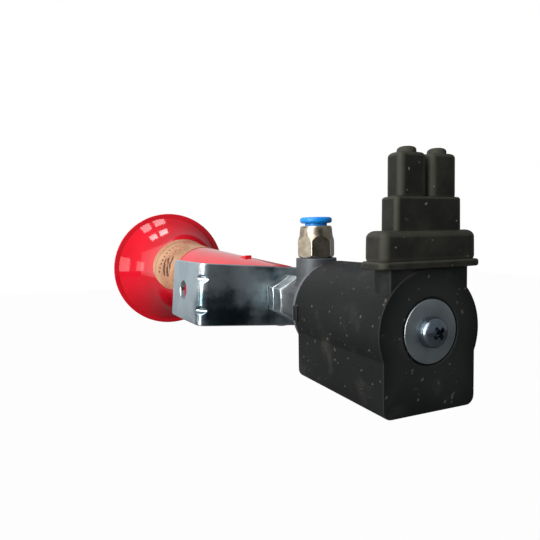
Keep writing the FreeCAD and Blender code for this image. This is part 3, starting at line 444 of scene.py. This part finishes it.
edge_loss = 0.3 - np.sqrt(np.clip(0.09 - np.clip(0.3 - from_end, 0, 0.3) ** 2, 0, None))
fine = np.linspace(-HALF_WIDTH + 0.4, HALF_WIDTH - 0.4, 110)
edge_turn = np.linspace(0, np.pi, 12)
loop_width = np.concatenate([fine, HALF_WIDTH - 0.4 + 0.4 * np.sin(edge_turn), fine[::-1],
                             -HALF_WIDTH + 0.4 - 0.4 * np.sin(edge_turn)])
loop_depth = np.concatenate([0 * fine, STRIP / 2 - STRIP / 2 * np.cos(edge_turn), STRIP + 0 * fine,
                             STRIP / 2 + STRIP / 2 * np.cos(edge_turn)])
width = loop_width[None, :] * ((HALF_WIDTH - corner_loss - edge_loss) / HALF_WIDTH)[:, None]
thinned = ((STRIP / 2 - edge_loss) / (STRIP / 2))[:, None]
depth = STRIP / 2 + (loop_depth[None, :] - STRIP / 2) * thinned
strip_x = outer_line[:, :1] + depth * inward[:, :1]
strip_y = outer_line[:, 1:] + depth * inward[:, 1:]


def pressed_in(x, y, z, depth):
    """How far a V gusset pushes a point along the bend's bisector: the V's own depth at this
    width, less how deep the point lies already, with the crease softened over 0.15 mm."""
    lying = (x + REACH + y) / math.sqrt(2)
    nearest = np.minimum(np.abs(z - 7.2), np.abs(z + 7.2))
    wanted = 3.3 + math.sqrt(2) * depth - np.sqrt(nearest ** 2 + 0.25)
    return 0.15 * np.logaddexp(0, (wanted - lying) / 0.15)


push = pressed_in(strip_x, strip_y, width, depth) / math.sqrt(2)
strip_x = strip_x + push
strip_y = strip_y + push
strip_grid = np.stack([strip_x, strip_y, width], -1)
ends = np.mean(strip_grid[[0, -1]], axis=1, keepdims=True) + 0 * strip_grid[[0, -1]]
strip_grid = np.concatenate([ends[:1], strip_grid, ends[1:]])


def bracket_place(grid):
    """From the bracket's flat frame to the horn frame: turned by the tilt, moved to the plate."""
    x, y, z = np.moveaxis(grid, -1, 0)
    return np.stack([x * math.cos(TILT) + z * math.sin(TILT), y + PLATE,
                     z * math.cos(TILT) - x * math.sin(TILT)], -1)


def drilled(made, cutters):
    """Takes closed shells away from a finished piece with an exact boolean, then bakes it."""
    tool_mesh = gathered("cutter", cutters)
    cleaned(tool_mesh)
    tool = bpy.data.objects.new("cutter", tool_mesh)
    bpy.context.scene.collection.objects.link(tool)
    boolean = made.modifiers.new("cut", "BOOLEAN")
    boolean.operation = "DIFFERENCE"
    boolean.solver = "EXACT"
    boolean.object = tool
    bpy.context.view_layer.update()
    graph = bpy.context.evaluated_depsgraph_get()
    baked = bpy.data.meshes.new_from_object(made.evaluated_get(graph))
    made.modifiers.clear()
    made.data = baked
    bpy.data.objects.remove(tool)
    smoothed(baked, 32)


def drill(centre, along, radius, chamfer, near, far):
    """A drill about any line: a cylinder of the hole's radius between two depths that widens
    at 45 degrees beyond the chamfers, and closes on the line at both ends."""
    steps = 72
    extra = 3.0
    outline = np.array([(0, near - extra), (radius + chamfer + extra, near - extra),
                        (radius + chamfer, near), (radius, near + chamfer),
                        (radius, far - chamfer), (radius + chamfer, far),
                        (radius + chamfer + extra, far + extra), (0, far + extra)])
    along = np.array(along, float)
    side = np.cross(along, [0, 0, 1.0])
    side /= np.linalg.norm(side)
    up = np.cross(side, along)
    angle = around(steps)[None, :, None]
    r = outline[:, 0][:, None, None]
    d = outline[:, 1][:, None, None]
    return np.array(centre) + d * along + r * (np.cos(angle) * side + np.sin(angle) * up)


zinc = Finish("zinc plate", {"Metallic": 1.0})
cloud = zinc.noise(55, 5, (1, 1, 0.7))
streak = zinc.noise(130, 3, (0.3, 1, 1))
tone = zinc.spread(cloud + 0.5 * streak, 0.6, 0.9)
zinc_colour = zinc.mix(tone, paint(84, 106, 116), paint(196, 208, 212))
# From a set depth along the horn axis forward, the flange is painted lighter: a painted reflection
# of the bright surroundings.
forward = zinc.node("ShaderNodeSeparateXYZ", {}, {"Vector": zinc.place()}, "Y")
zinc_colour = zinc.mix(
    0.85 * zinc.spread(forward, -0.02, -0.014), zinc_colour, paint(178, 194, 202))
# Edges and creases, where the strip turns sharply, are painted near white: a painted highlight.
zinc_colour = zinc.mix(zinc.spread(zinc.edge_highlight(), 0.2, 0.9), zinc_colour, paint(226, 232, 236))
zinc.feed("Base Color", zinc_colour)
zinc.feed("Roughness", 0.22 + 0.14 * zinc.spread(cloud, 0.35, 0.7))
zinc.bump(cloud + 0.3 * streak, 0.3, 0.0012)
bracket = piece("mounting-bracket", [shell(bracket_place(strip_grid), False)], zinc, "bracket",
                ["mounting_bracket"])
hole_middle = np.array([-REACH - 23.0 * math.tan(SPLAY), 23.0, 0.0])
flange_in = bracket_place(np.array([[*into_flange, 0.0]]))[0] - [0, PLATE, 0]
drilled(bracket, [
    shell(drill(bracket_place(hole_middle[None])[0], flange_in, 4.5, 0.25, 0.0, STRIP), False),
    shell(drill((0, PLATE, 0), (0, 1, 0), 6.1, 0.25, 0.0, STRIP), False)])

# --- Nuts ---------------------------------------------------------------------------------
# Two zinc-plated steel nuts on the stem: a lock nut that clamps the bracket's plate, and a
# longer jam nut against the valve body. Both rims are turned off at an angle.


def soft_min(first, second, blend):
    """The smaller of two values, with the change-over rounded across the blend length."""
    return -blend * np.logaddexp(-first / blend, -second / blend)


def hexagon_reach(steps, flats, first_flat, blend=0.12):
    """Distance from the axis to a hexagon's sides at each angle: half the flats over the
    cosine of the angle from the nearest flat, soft-minned with the next flat's."""
    off = np.mod(around(steps) - first_flat + np.pi / 6, np.pi / 3) - np.pi / 6
    near = flats / 2 / np.cos(off)
    beyond = flats / 2 / np.cos(np.pi / 3 - np.abs(off))
    return soft_min(near, beyond, blend)


def nut(node, start, length):
    """Hexagon sides soft-minned with two cones from the faces, round a plain bore."""
    steps = 240
    height = np.concatenate([np.linspace(0, 1.6, 14), np.linspace(1.8, length - 1.8, 4),
                             np.linspace(length - 1.6, length, 14)])
    cone = 9.1 + np.minimum(height, length - height) / 0.58
    side = soft_min(hexagon_reach(steps, 18.6, 0.0)[None], cone[:, None], 0.06)
    face = np.full((1, steps), 6.05)
    radius = np.concatenate([face, side, face])
    level = start + np.concatenate([[0], height, [length]])
    piece(node.replace("_", "-"), [shell(spun(radius, level, steps))], nut_zinc, "horn",
          [node], 20)


nut_zinc = Finish("bright zinc", {"Metallic": 1.0})
grain = nut_zinc.noise(260, 4)
nut_colour = nut_zinc.mix(
    nut_zinc.spread(grain, 0.35, 0.7), paint(160, 174, 178), paint(196, 206, 210))
# Edges and corners of the nuts are painted near white: a painted highlight.
nut_zinc.feed("Base Color", nut_zinc.mix(
    nut_zinc.spread(nut_zinc.edge_highlight(), 0.15, 0.7), nut_colour, paint(240, 243, 245)))
nut_zinc.feed("Roughness", 0.3 + 0.14 * grain)
nut_zinc.bump(grain, 0.2, 0.0004)
nut("lock_nut", 94.4, 6.0)
nut("jam_nut", 86.2, 8.2)

# --- Valve body ---------------------------------------------------------------------------
# Cast aluminium, left as cast and satin: a round seat for the coil, a hexagon neck, and an
# upright boss for the air inlet. It is bored through for the armature tube and the stem.
neck_steps = 180
neck = hexagon_reach(neck_steps, 17.8, 0.0, 0.3)
ring_out = np.array([18.1, 18.4, 18.5, 18.5, 18.4, 18.1])
ring_at = np.array([54.0, 54.12, 54.4, 56.6, 56.88, 57.0])
inset = np.array([-1.2, -0.5, -0.15, 0.0, 0.0, 0.1, 0.5])
inset_at = np.array([57.0, 57.2, 57.6, 58.4, 85.7, 86.0, 86.2])
ways = np.array([(6.05, 86.2), (6.05, 82.1), (4.6, 82.1), (4.6, 79.5), (6.4, 79.5), (6.4, 61.9),
                 (7.05, 61.9), (7.05, 54.0)])
valve_radius = np.concatenate([
    np.repeat(ring_out[:, None], neck_steps, 1), neck[None] - inset[:, None],
    np.repeat(ways[:, :1], neck_steps, 1)])
valve_at = np.concatenate([ring_at, inset_at, ways[:, 1]])


def stood_up(grid, station):
    """A grid made about the horn axis, stood up on a vertical line that crosses the axis."""
    return np.stack([grid[..., 0], grid[..., 2] + station, grid[..., 1]], -1)


def upright(outline, station, steps=96):
    """A surface of revolution about a vertical line that crosses the horn axis."""
    return stood_up(turned(outline, steps), station)


BOSS = 70.0
boss_outline = softened([(2.9, 8.0), (9.6, 8.0), (8.75, 10.2), (8.6, 12.0), (8.6, 19.85),
                         (4.9, 19.85), (4.9, 10.35), (2.9, 10.35)], 0.35)
cast = Finish("cast aluminium", {"Metallic": 0.55})
sand = cast.noise(850, 4)
patch = cast.noise(90, 3)
cast_colour = cast.mix(cast.spread(patch, 0.35, 0.7), paint(80, 83, 86), paint(102, 105, 107))
# Sharply turning edges, such as the ring's, are painted a little lighter: a painted highlight.
cast.feed("Base Color", cast.mix(
    0.15 * cast.spread(cast.edge_highlight(), 0.4, 1.0), cast_colour, paint(196, 198, 198)))
cast.feed("Roughness", 0.42 + 0.14 * patch + 0.06 * sand)
cast.bump(sand, 0.35, 0.0003)
piece("valve-body", [shell(spun(valve_radius, valve_at, neck_steps)),
                     shell(upright(boss_outline, BOSS))],
      cast, "horn", ["valve_body"])

# --- Push-in fitting ----------------------------------------------------------------------
# Nickel-plated brass: a hexagon to turn it by, a turned shoulder above, and a thread down
# into the boss. The holder inside takes the packing, the claw ring and the button.
fitting_steps = 240
fit_height = np.array([20.2, 20.35, 20.7, 21.1, 21.5, 24.0, 26.0, 26.6, 27.2, 27.8, 28.3,
                       28.8, 29.3, 29.9, 30.8, 31.8, 32.5, 33.0, 33.3, 33.4])
fit_turned = np.array([6.9, 7.25, 7.75, 8.1, 8.3, 8.3, 8.3, 8.15, 7.95, 7.68, 7.42, 7.2, 7.04,
                       6.94, 6.86, 6.78, 6.68, 6.5, 6.36, 6.2])
dense = np.concatenate([np.linspace(20.2, 21.6, 12), np.linspace(22.2, 25.8, 4),
                        np.linspace(26.2, 33.4, 48)])
fit_profile = np.interp(dense, fit_height, fit_turned)
first_flat = math.radians(30 - 12.8)
fit_side = soft_min(hexagon_reach(fitting_steps, 14.0, first_flat, 0.08)[None],
                    fit_profile[:, None], 0.05)
fit_ways = np.array([(5.88, 33.4), (5.88, 24.0), (4.1, 24.0), (4.1, 21.5), (2.75, 21.5),
                     (2.75, 11.85), (4.85, 11.85), (4.85, 20.2)])
fitting_rings = spun(np.concatenate([fit_side, np.repeat(fit_ways[:, :1], fitting_steps, 1)]),
                     np.concatenate([dense, fit_ways[:, 1]]), fitting_steps)
fitting_grid = stood_up(fitting_rings, BOSS)
nickel = Finish("nickel plate", {"Metallic": 1.0})
dull = nickel.noise(320, 4)
nickel_colour = nickel.mix(
    nickel.spread(dull, 0.3, 0.7), paint(152, 140, 122), paint(184, 172, 154))
# Sharp edges of the hexagon and shoulder are painted near white: a painted highlight.
nickel.feed("Base Color", nickel.mix(
    nickel.spread(nickel.edge_highlight(), 0.2, 0.8), nickel_colour, paint(240, 234, 222)))
nickel.feed("Roughness", 0.26 + 0.14 * dull)
nickel.bump(dull, 0.12, 0.0003)
piece("fitting-body", [shell(fitting_grid)], nickel, "horn", ["fitting_body"], 24)

# --- Release button -----------------------------------------------------------------------
# A blue acetal ring that slides in the fitting's mouth. Pressing it spreads the claw ring
# and frees the air tube.
button_outline = softened([(4.05, 28.0), (4.45, 28.0), (4.65, 28.9), (4.65, 34.5), (6.0, 34.5),
                           (6.75, 35.1), (6.75, 36.3), (6.2, 37.0), (4.6, 37.0), (4.05, 36.4)],
                          [0.1, 0.1, 0.3, 0.3, 0.4, 0.5, 0.6, 0.5, 0.3, 0.3])
blue = Finish("blue acetal", {"Roughness": 0.34, "Specular IOR Level": 0.45})
blue.feed("Base Color", blue.mix(blue.noise(300, 2), paint(14, 132, 226), paint(26, 150, 238)))
blue.bump(blue.noise(700, 2), 0.08, 0.0003)
piece("release-button", [shell(upright(button_outline, BOSS))], blue, "release_button",
      ["release_button"])

# --- Coil ---------------------------------------------------------------------------------
# The coil is cast in black epoxy: a barrel let into a square foot, a terminal tower at the
# rear and a small lug on the front rim. It slides over the armature tube and can be turned.
COIL_LENGTH = 53.6
BARREL_RADIUS = 19.3
FOOT_HALF = 17.7
FOOT_DEPTH = 25.1
FOOT_CORNER = 3.0
coil_steps = 288
angle = around(coil_steps)
across, down = np.abs(np.cos(angle)), -np.sin(angle)
below = down > 0.02
side_reach = FOOT_HALF / np.maximum(across, 1e-6)
floor_reach = FOOT_DEPTH / np.maximum(down, 1e-6)
corner_x, corner_z = FOOT_HALF - FOOT_CORNER, FOOT_DEPTH - FOOT_CORNER
corner_dot = corner_x * across + corner_z * down
corner_room = corner_dot ** 2 - (corner_x ** 2 + corner_z ** 2 - FOOT_CORNER ** 2)
corner_reach = corner_dot + np.sqrt(np.maximum(corner_room, 0))
x_hit = np.minimum(side_reach, floor_reach)
in_corner = below & (x_hit * across > corner_x) & (x_hit * down > corner_z)
box_reach = np.where(in_corner, corner_reach, x_hit)
coil_reach = np.where(below, np.maximum(BARREL_RADIUS, box_reach), BARREL_RADIUS)
edge = 0.4
quarter = np.linspace(0, np.pi / 2, 6)
drawn_in = edge * (1 - np.sin(quarter))
set_back = edge * (1 - np.cos(quarter))
coil_rows = np.concatenate([drawn_in, drawn_in[::-1]])
coil_at = np.concatenate([set_back, COIL_LENGTH - set_back[::-1]])
coil_ways = np.array([(7.1, COIL_LENGTH), (7.1, 1.1), (10.3, 1.1), (10.6, 0.8), (10.6, 0.25),
                      (10.85, 0.0)])
coil_radius = np.concatenate([coil_reach[None] - coil_rows[:, None],
                              np.repeat(coil_ways[:, :1], coil_steps, 1)])
coil_grid = spun(coil_radius, np.concatenate([coil_at, coil_ways[:, 1]]), coil_steps)
tower = rounded_box((-14.95, 0.4, 6.0), (14.95, 8.2, 27.15), 0.6, 0.5)
rim_lug = rounded_box((-19.9, 50.6, -3.0), (-14.0, COIL_LENGTH, 3.0), 0.5, 0.6)
potting = Finish("black potting", {"Specular IOR Level": 0.25})
cloudy = potting.noise(48, 5)
dust = potting.spread(potting.noise(520, 1), 0.7, 0.76)
smudge = potting.spread(potting.noise(95, 4), 0.58, 0.8)
potting_colour = potting.mix(potting.spread(cloudy, 0.35, 0.7), paint(9, 10, 10), paint(18, 20, 20))
potting_colour = potting.mix(smudge * 0.2, potting_colour, paint(88, 84, 74))
potting_colour = potting.mix(dust * 0.35, potting_colour, paint(130, 122, 106))
# The rims and edges are painted a little lighter: a painted highlight.
potting.feed("Base Color", potting.mix(
    0.12 * potting.spread(potting.edge_highlight(), 0.2, 0.9), potting_colour, paint(92, 94, 92)))
potting.feed("Roughness", 0.5 + 0.2 * cloudy)
potting.bump(potting.noise(900, 4), 0.3, 0.0002)
piece("coil-housing", [shell(coil_grid), shell(tower, False), shell(rim_lug, False)], potting,
      "coil", ["coil_housing"])

# --- Washer and screw ---------------------------------------------------------------------
# A plain zinc washer in the coil's recess and a cross-recess pan head screw into the fixed
# core hold the coil on.
washer_outline = softened([(2.6, 0.0), (9.8, 0.0), (10.0, 0.25), (10.0, 1.0), (2.6, 1.0)], 0.15)
head_turn = np.linspace(0, np.pi / 2, 14)
head = np.stack([4.9 * np.sin(head_turn) ** 0.8, -0.6 - 3.0 * np.cos(head_turn) ** 0.8], 1)
screw_outline = np.concatenate([head, [
    (4.9, -0.15), (4.75, 0.0), (2.5, 0.0), (2.5, 11.6), (2.1, 12.0), (0, 12.0)]])
dull_zinc = Finish("dull zinc", {"Metallic": 1.0})
tarnish = dull_zinc.noise(180, 4)
dull_zinc.feed("Base Color", dull_zinc.mix(tarnish, paint(150, 160, 162), paint(184, 192, 194)))
dull_zinc.feed("Roughness", 0.3 + 0.2 * tarnish)
dull_zinc.bump(tarnish, 0.15, 0.0004)
piece("coil-washer", [shell(turned(washer_outline))], dull_zinc, "horn", ["coil_washer"])
screw_zinc = Finish("bright screw", {"Metallic": 1.0})
scuff = screw_zinc.noise(500, 3)
screw_zinc.feed("Base Color", screw_zinc.mix(scuff, paint(108, 120, 130), paint(148, 158, 166)))
screw_zinc.feed("Roughness", 0.16 + 0.14 * scuff)
screw_zinc.bump(scuff, 0.1, 0.0002)
screw = piece("coil-screw", [shell(turned(screw_outline), False)], screw_zinc, "horn",
              ["coil_screw"])
cross_turn = math.radians(38)


def cross_arm(turn):
    """One wing of the recess: a block 1.4 by 5.8, narrowing inward, turned about the axis."""
    block = rounded_box((-2.9, -0.7, -1.4), (2.9, 0.7, 4.0), 0.25, 0.1)
    narrow = 0.62 + 0.38 * np.clip((block[..., 2] + 1.4) / 2.6, 0, 1)
    x, z = block[..., 0] * narrow, block[..., 1]
    return np.stack([x * math.cos(turn) - z * math.sin(turn), -block[..., 2] - 2.6,
                     x * math.sin(turn) + z * math.cos(turn)], -1)


drilled(screw, [shell(cross_arm(cross_turn), False)])
drilled(screw, [shell(cross_arm(cross_turn + math.pi / 2), False)])

# --- Terminal boot ------------------------------------------------------------------------
# One soft black rubber moulding pushed over the terminal tower: a lip, a cap, a narrower
# block and two wire sleeves whose tips are closed until they are cut.
BOOT = 4.9
LEFT_SLEEVE, RIGHT_SLEEVE = -5.5, 6.1
TIP_RADIUS = 2.9


def boot_block(width, depth, low, high, corner, top_edge, side, spread):
    """A block with rounded upright corners and top edge, widening downward by the spread."""
    grid = rounded_box((side - width / 2, BOOT - depth / 2, low),
                       (side + width / 2, BOOT + depth / 2, high), corner, top_edge, 7)
    away = 1 - np.clip((grid[..., 2] - low) / (high - low), 0, 1)
    off_middle = grid[..., 0] - side
    grid[..., 0] += np.sign(off_middle) * spread * away * (np.abs(off_middle) > 1e-6)
    return grid


def tip(side):
    """A closed nipple: a short cylinder with a domed end, sunk into its sleeve."""
    dome = np.linspace(0, np.pi / 2, 8)
    outline = np.concatenate([[(0, 52.6), (TIP_RADIUS, 52.6)], np.stack([
        TIP_RADIUS * np.cos(dome) ** 0.6, 54.6 + 1.24 * np.sin(dome)], 1)])
    outline[-1, 0] = 0
    grid = upright(outline, BOOT, 48)
    grid[..., 0] += side
    return grid


boot_shells = [
    boot_block(37.8, 12.0, 19.35, 21.65, 2.6, 0.7, side=0.2, spread=0.0),
    boot_block(35.7, 10.2, 20.6, 30.75, 2.6, 2.2, side=0.2, spread=0.2),
    boot_block(25.1, 7.8, 30.0, 40.85, 1.6, 0.9, side=0.3, spread=0.15),
    boot_block(10.2, 7.2, 40.0, 53.95, 2.2, 1.4, side=LEFT_SLEEVE, spread=0.1),
    boot_block(10.2, 7.2, 40.0, 53.95, 2.2, 1.4, side=RIGHT_SLEEVE, spread=0.1),
    tip(LEFT_SLEEVE), tip(RIGHT_SLEEVE)]
rubber = Finish("dusty rubber", {"Specular IOR Level": 0.3})
haze = rubber.noise(120, 5)
crumbs = rubber.spread(rubber.noise(520, 1), 0.74, 0.78)
rubber_colour = rubber.mix(rubber.spread(haze, 0.35, 0.7), paint(17, 18, 15), paint(29, 29, 24))
# The edges are painted lighter, broken up by the haze noise: a painted highlight.
rubber_colour = rubber.mix(
    0.6 * rubber.spread(rubber.edge_highlight() + 0.4 * haze, 0.3, 0.9), rubber_colour, paint(72, 70, 60))
rubber.feed("Base Color", rubber.mix(crumbs * 0.6, rubber_colour, paint(140, 134, 118)))
rubber.feed("Roughness", 0.62 + 0.2 * haze)
rubber.bump(rubber.noise(420, 4), 0.35, 0.0005)
piece("terminal-boot", [shell(part, False) for part in boot_shells], rubber, "coil",
      ["terminal_boot"], 50)

# --- Parts inside -------------------------------------------------------------------------
# The stem, plunger, seals, diaphragm and coil winding keep their CAD shapes, and only the
# return spring is made again. Each finish is a base colour clouded by noise, with a
# matching roughness.


def plain_finish(name, metallic, dark, light, roughness, grain, depth):
    """Colour between two shades and roughness within 0.12, both from the same noise."""
    finish = Finish(name, {"Metallic": metallic})
    clouded = finish.noise(grain, 4)
    finish.feed("Base Color", finish.mix(finish.spread(clouded, 0.3, 0.7), dark, light))
    finish.feed("Roughness", roughness + 0.12 * clouded)
    finish.bump(clouded, 0.15, depth)
    return finish


def coated(finish, nodes):
    for name in nodes:
        for slot in frame["nodes"][name].material_slots:
            slot.material = finish.material


coated(plain_finish("thread zinc", 1.0, paint(160, 168, 172), paint(200, 206, 210),
                    0.28, 300, 0.0002), ["threaded_stem"])
coated(plain_finish("turned brass", 1.0, paint(190, 150, 84), paint(214, 178, 110),
                    0.24, 260, 0.0002), ["valve_seat"])
coated(plain_finish("steel tube", 1.0, paint(166, 168, 170), paint(196, 198, 200),
                    0.26, 240, 0.0002), ["armature_tube"])
coated(plain_finish("soft iron", 1.0, paint(128, 130, 132), paint(156, 158, 160),
                    0.38, 320, 0.0002), ["fixed_core", "plunger", "magnet_frame"])
spring_steel = plain_finish("spring steel", 1.0, paint(150, 154, 158), paint(186, 190, 194),
                            0.24, 280, 0.0001)
coated(spring_steel, ["diaphragm", "claw_ring", "claw_keeper"])

# The return spring between the fixed core and the plunger: wire wound seven turns, with
# the last half turn at each end lying flat. It shortens as the plunger lifts.
SPRING_START = 20.4
SPRING_END = 33.9
SPRING_TURNS = 7
wire_radius, coil_middle = 0.35, 2.7
along_wire = np.linspace(0, 1, 420)
wound = 2 * np.pi * SPRING_TURNS * along_wire
level = SPRING_START + (SPRING_END - SPRING_START) * np.clip((along_wire - 0.07) / 0.86, 0, 1)
round_wire = around(12)[None, :]
fine_reach = wire_radius * np.where(np.abs(along_wire - 0.5) > 0.499, 0, 1)[:, None]
reach = coil_middle + fine_reach * np.cos(round_wire)
spring_grid = np.stack([reach * np.cos(wound)[:, None],
                        level[:, None] + fine_reach * np.sin(round_wire),
                        reach * np.sin(wound)[:, None]], -1)
spring = piece("plunger-spring", [shell(spring_grid, False)], spring_steel, None,
               ["plunger_spring"], 60)
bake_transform(spring)
coated(plain_finish("soft seals", 0.0, paint(26, 26, 26), paint(40, 40, 38), 0.6, 400, 0.0002),
       ["diaphragm_gasket", "tube_o_ring", "fitting_seal", "tube_packing", "plunger_pad"])
coated(plain_finish("dark moulding", 0.0, paint(44, 44, 46), paint(60, 60, 62), 0.45, 260, 0.0002),
       ["throat_insert", "coil_bobbin"])
coated(plain_finish("copper wire", 1.0, paint(170, 92, 50), paint(204, 122, 76), 0.3, 600, 0.0003),
       ["copper_winding"])
coated(plain_finish("tinned blade", 1.0, paint(186, 188, 190), paint(214, 216, 218),
                    0.22, 240, 0.0001), ["terminal_blade_1", "terminal_blade_2"])

# --- Studio -------------------------------------------------------------------------------
# A floor well below the horn, a white world behind it, four lamps overhead, two window
# lights and a strip on the left, a soft box behind and a broad panel in front.
floor_line = np.linspace(-3.0, 3.0, 41)
floor_grid = np.stack(np.meshgrid(floor_line, floor_line, [-0.3], indexing="ij"), -1).reshape(-1, 3)
first = (np.arange(40)[:, None] * 41 + np.arange(40)).reshape(-1)
floor_mesh = bpy.data.meshes.new("floor")
floor_mesh.from_pydata(floor_grid.tolist(), [],
                       np.stack([first, first + 41, first + 42, first + 1], 1).tolist())
floor = bpy.data.objects.new("floor", floor_mesh)
bpy.context.scene.collection.objects.link(floor)
floor_finish = Finish("grey floor", {"Roughness": 0.9})
floor_finish.feed("Base Color", floor_finish.mix(
    floor_finish.noise(3, 2), paint(92, 92, 92), paint(98, 98, 98)))
seen = floor_finish.node("ShaderNodeLightPath", {}, {}, "Is Camera Ray")
white = floor_finish.node("ShaderNodeEmission", {}, {"Color": (1, 1, 1, 1), "Strength": 1.0})
floor_finish.show(floor_finish.node("ShaderNodeMixShader", {}, {
    0: 0.98 * seen, 1: Wire(floor_finish, floor_finish.shader.outputs[0]), 2: white}))
floor_mesh.materials.append(floor_finish.material)

world = bpy.data.worlds.new("studio")
bpy.context.scene.world = world
sky = Graph(world, "World Output")
backdrop = sky.node("ShaderNodeBackground", {}, {"Color": (1, 1, 1, 1), "Strength": 1.0})
room = sky.node("ShaderNodeBackground", {}, {"Color": (0.9, 0.95, 1.0, 1), "Strength": 0.27})
sky_seen = sky.node("ShaderNodeLightPath", {}, {}, "Is Camera Ray")
sky.show(sky.node("ShaderNodeMixShader", {}, {0: sky_seen, 1: room, 2: backdrop}))


def lamp(name, place, aim, width, height, watts):
    """A soft rectangular lamp at a place, turned to face a point, itself out of sight."""
    data = bpy.data.lights.new(name, "AREA")
    data.shape = "RECTANGLE"
    data.size, data.size_y = width, height
    data.energy = watts
    made = bpy.data.objects.new(name, data)
    bpy.context.scene.collection.objects.link(made)
    made.location = place
    made.rotation_euler = (Vector(aim) - Vector(place)).to_track_quat("-Z", "Y").to_euler()
    made.visible_camera = False


for lamp_x in (-0.42, 0.02):
    for lamp_y in (0.46, 1.16):
        lamp("ceiling light", (lamp_x, lamp_y, 1.2), (lamp_x, lamp_y, 0), 0.31, 0.38, 2.0)
lamp("near window", (-1.2, 0.45, 0.12), (0, 0.45, 0.12), 0.42, 0.45, 1.5)
lamp("far window", (-1.2, 1.3, 0.12), (0, 1.3, 0.12), 0.5, 0.4, 0.9)
lamp("strip", (-1.15, -0.45, 0.15), (0, 0, 0), 0.6, 0.8, 11)
lamp("soft box", (-1.1, -0.55, 1.0), (0.05, 0.1, 0), 1.4, 1.4, 20)
lamp("front panel", (-0.3, 1.8, 0.3), (0.0, 0, 0.1), 2.4, 1.3, 4.5)

# Camera: behind and to the left of the coil, a little above the axis.
yaw, pitch, roll = math.radians(24.17), math.radians(4.17), math.radians(-1.01)
view_line = np.array([math.sin(yaw) * math.cos(pitch), math.cos(yaw) * math.cos(pitch),
                      -math.sin(pitch)])
right = np.array([math.cos(yaw), -math.sin(yaw), 0])
above = np.cross(right, view_line)
image_right = right * math.cos(roll) + above * math.sin(roll)
image_up = above * math.cos(roll) - right * math.sin(roll)
camera_data = bpy.data.cameras.new("camera")
camera_data.sensor_width = 36
camera_data.lens = 503.4 / 540 * 36
camera_data.clip_start, camera_data.clip_end = 0.01, 20
camera = bpy.data.objects.new("camera", camera_data)
bpy.context.scene.collection.objects.link(camera)
placed = np.eye(4)
placed[:3, 0], placed[:3, 1], placed[:3, 2] = image_right, image_up, -view_line
placed[:3, 3] = (-0.061459, -0.24107, 0.026974)
camera.matrix_world = Matrix(placed.tolist())
bpy.context.scene.camera = camera
bpy.context.scene.view_settings.view_transform = "Standard"
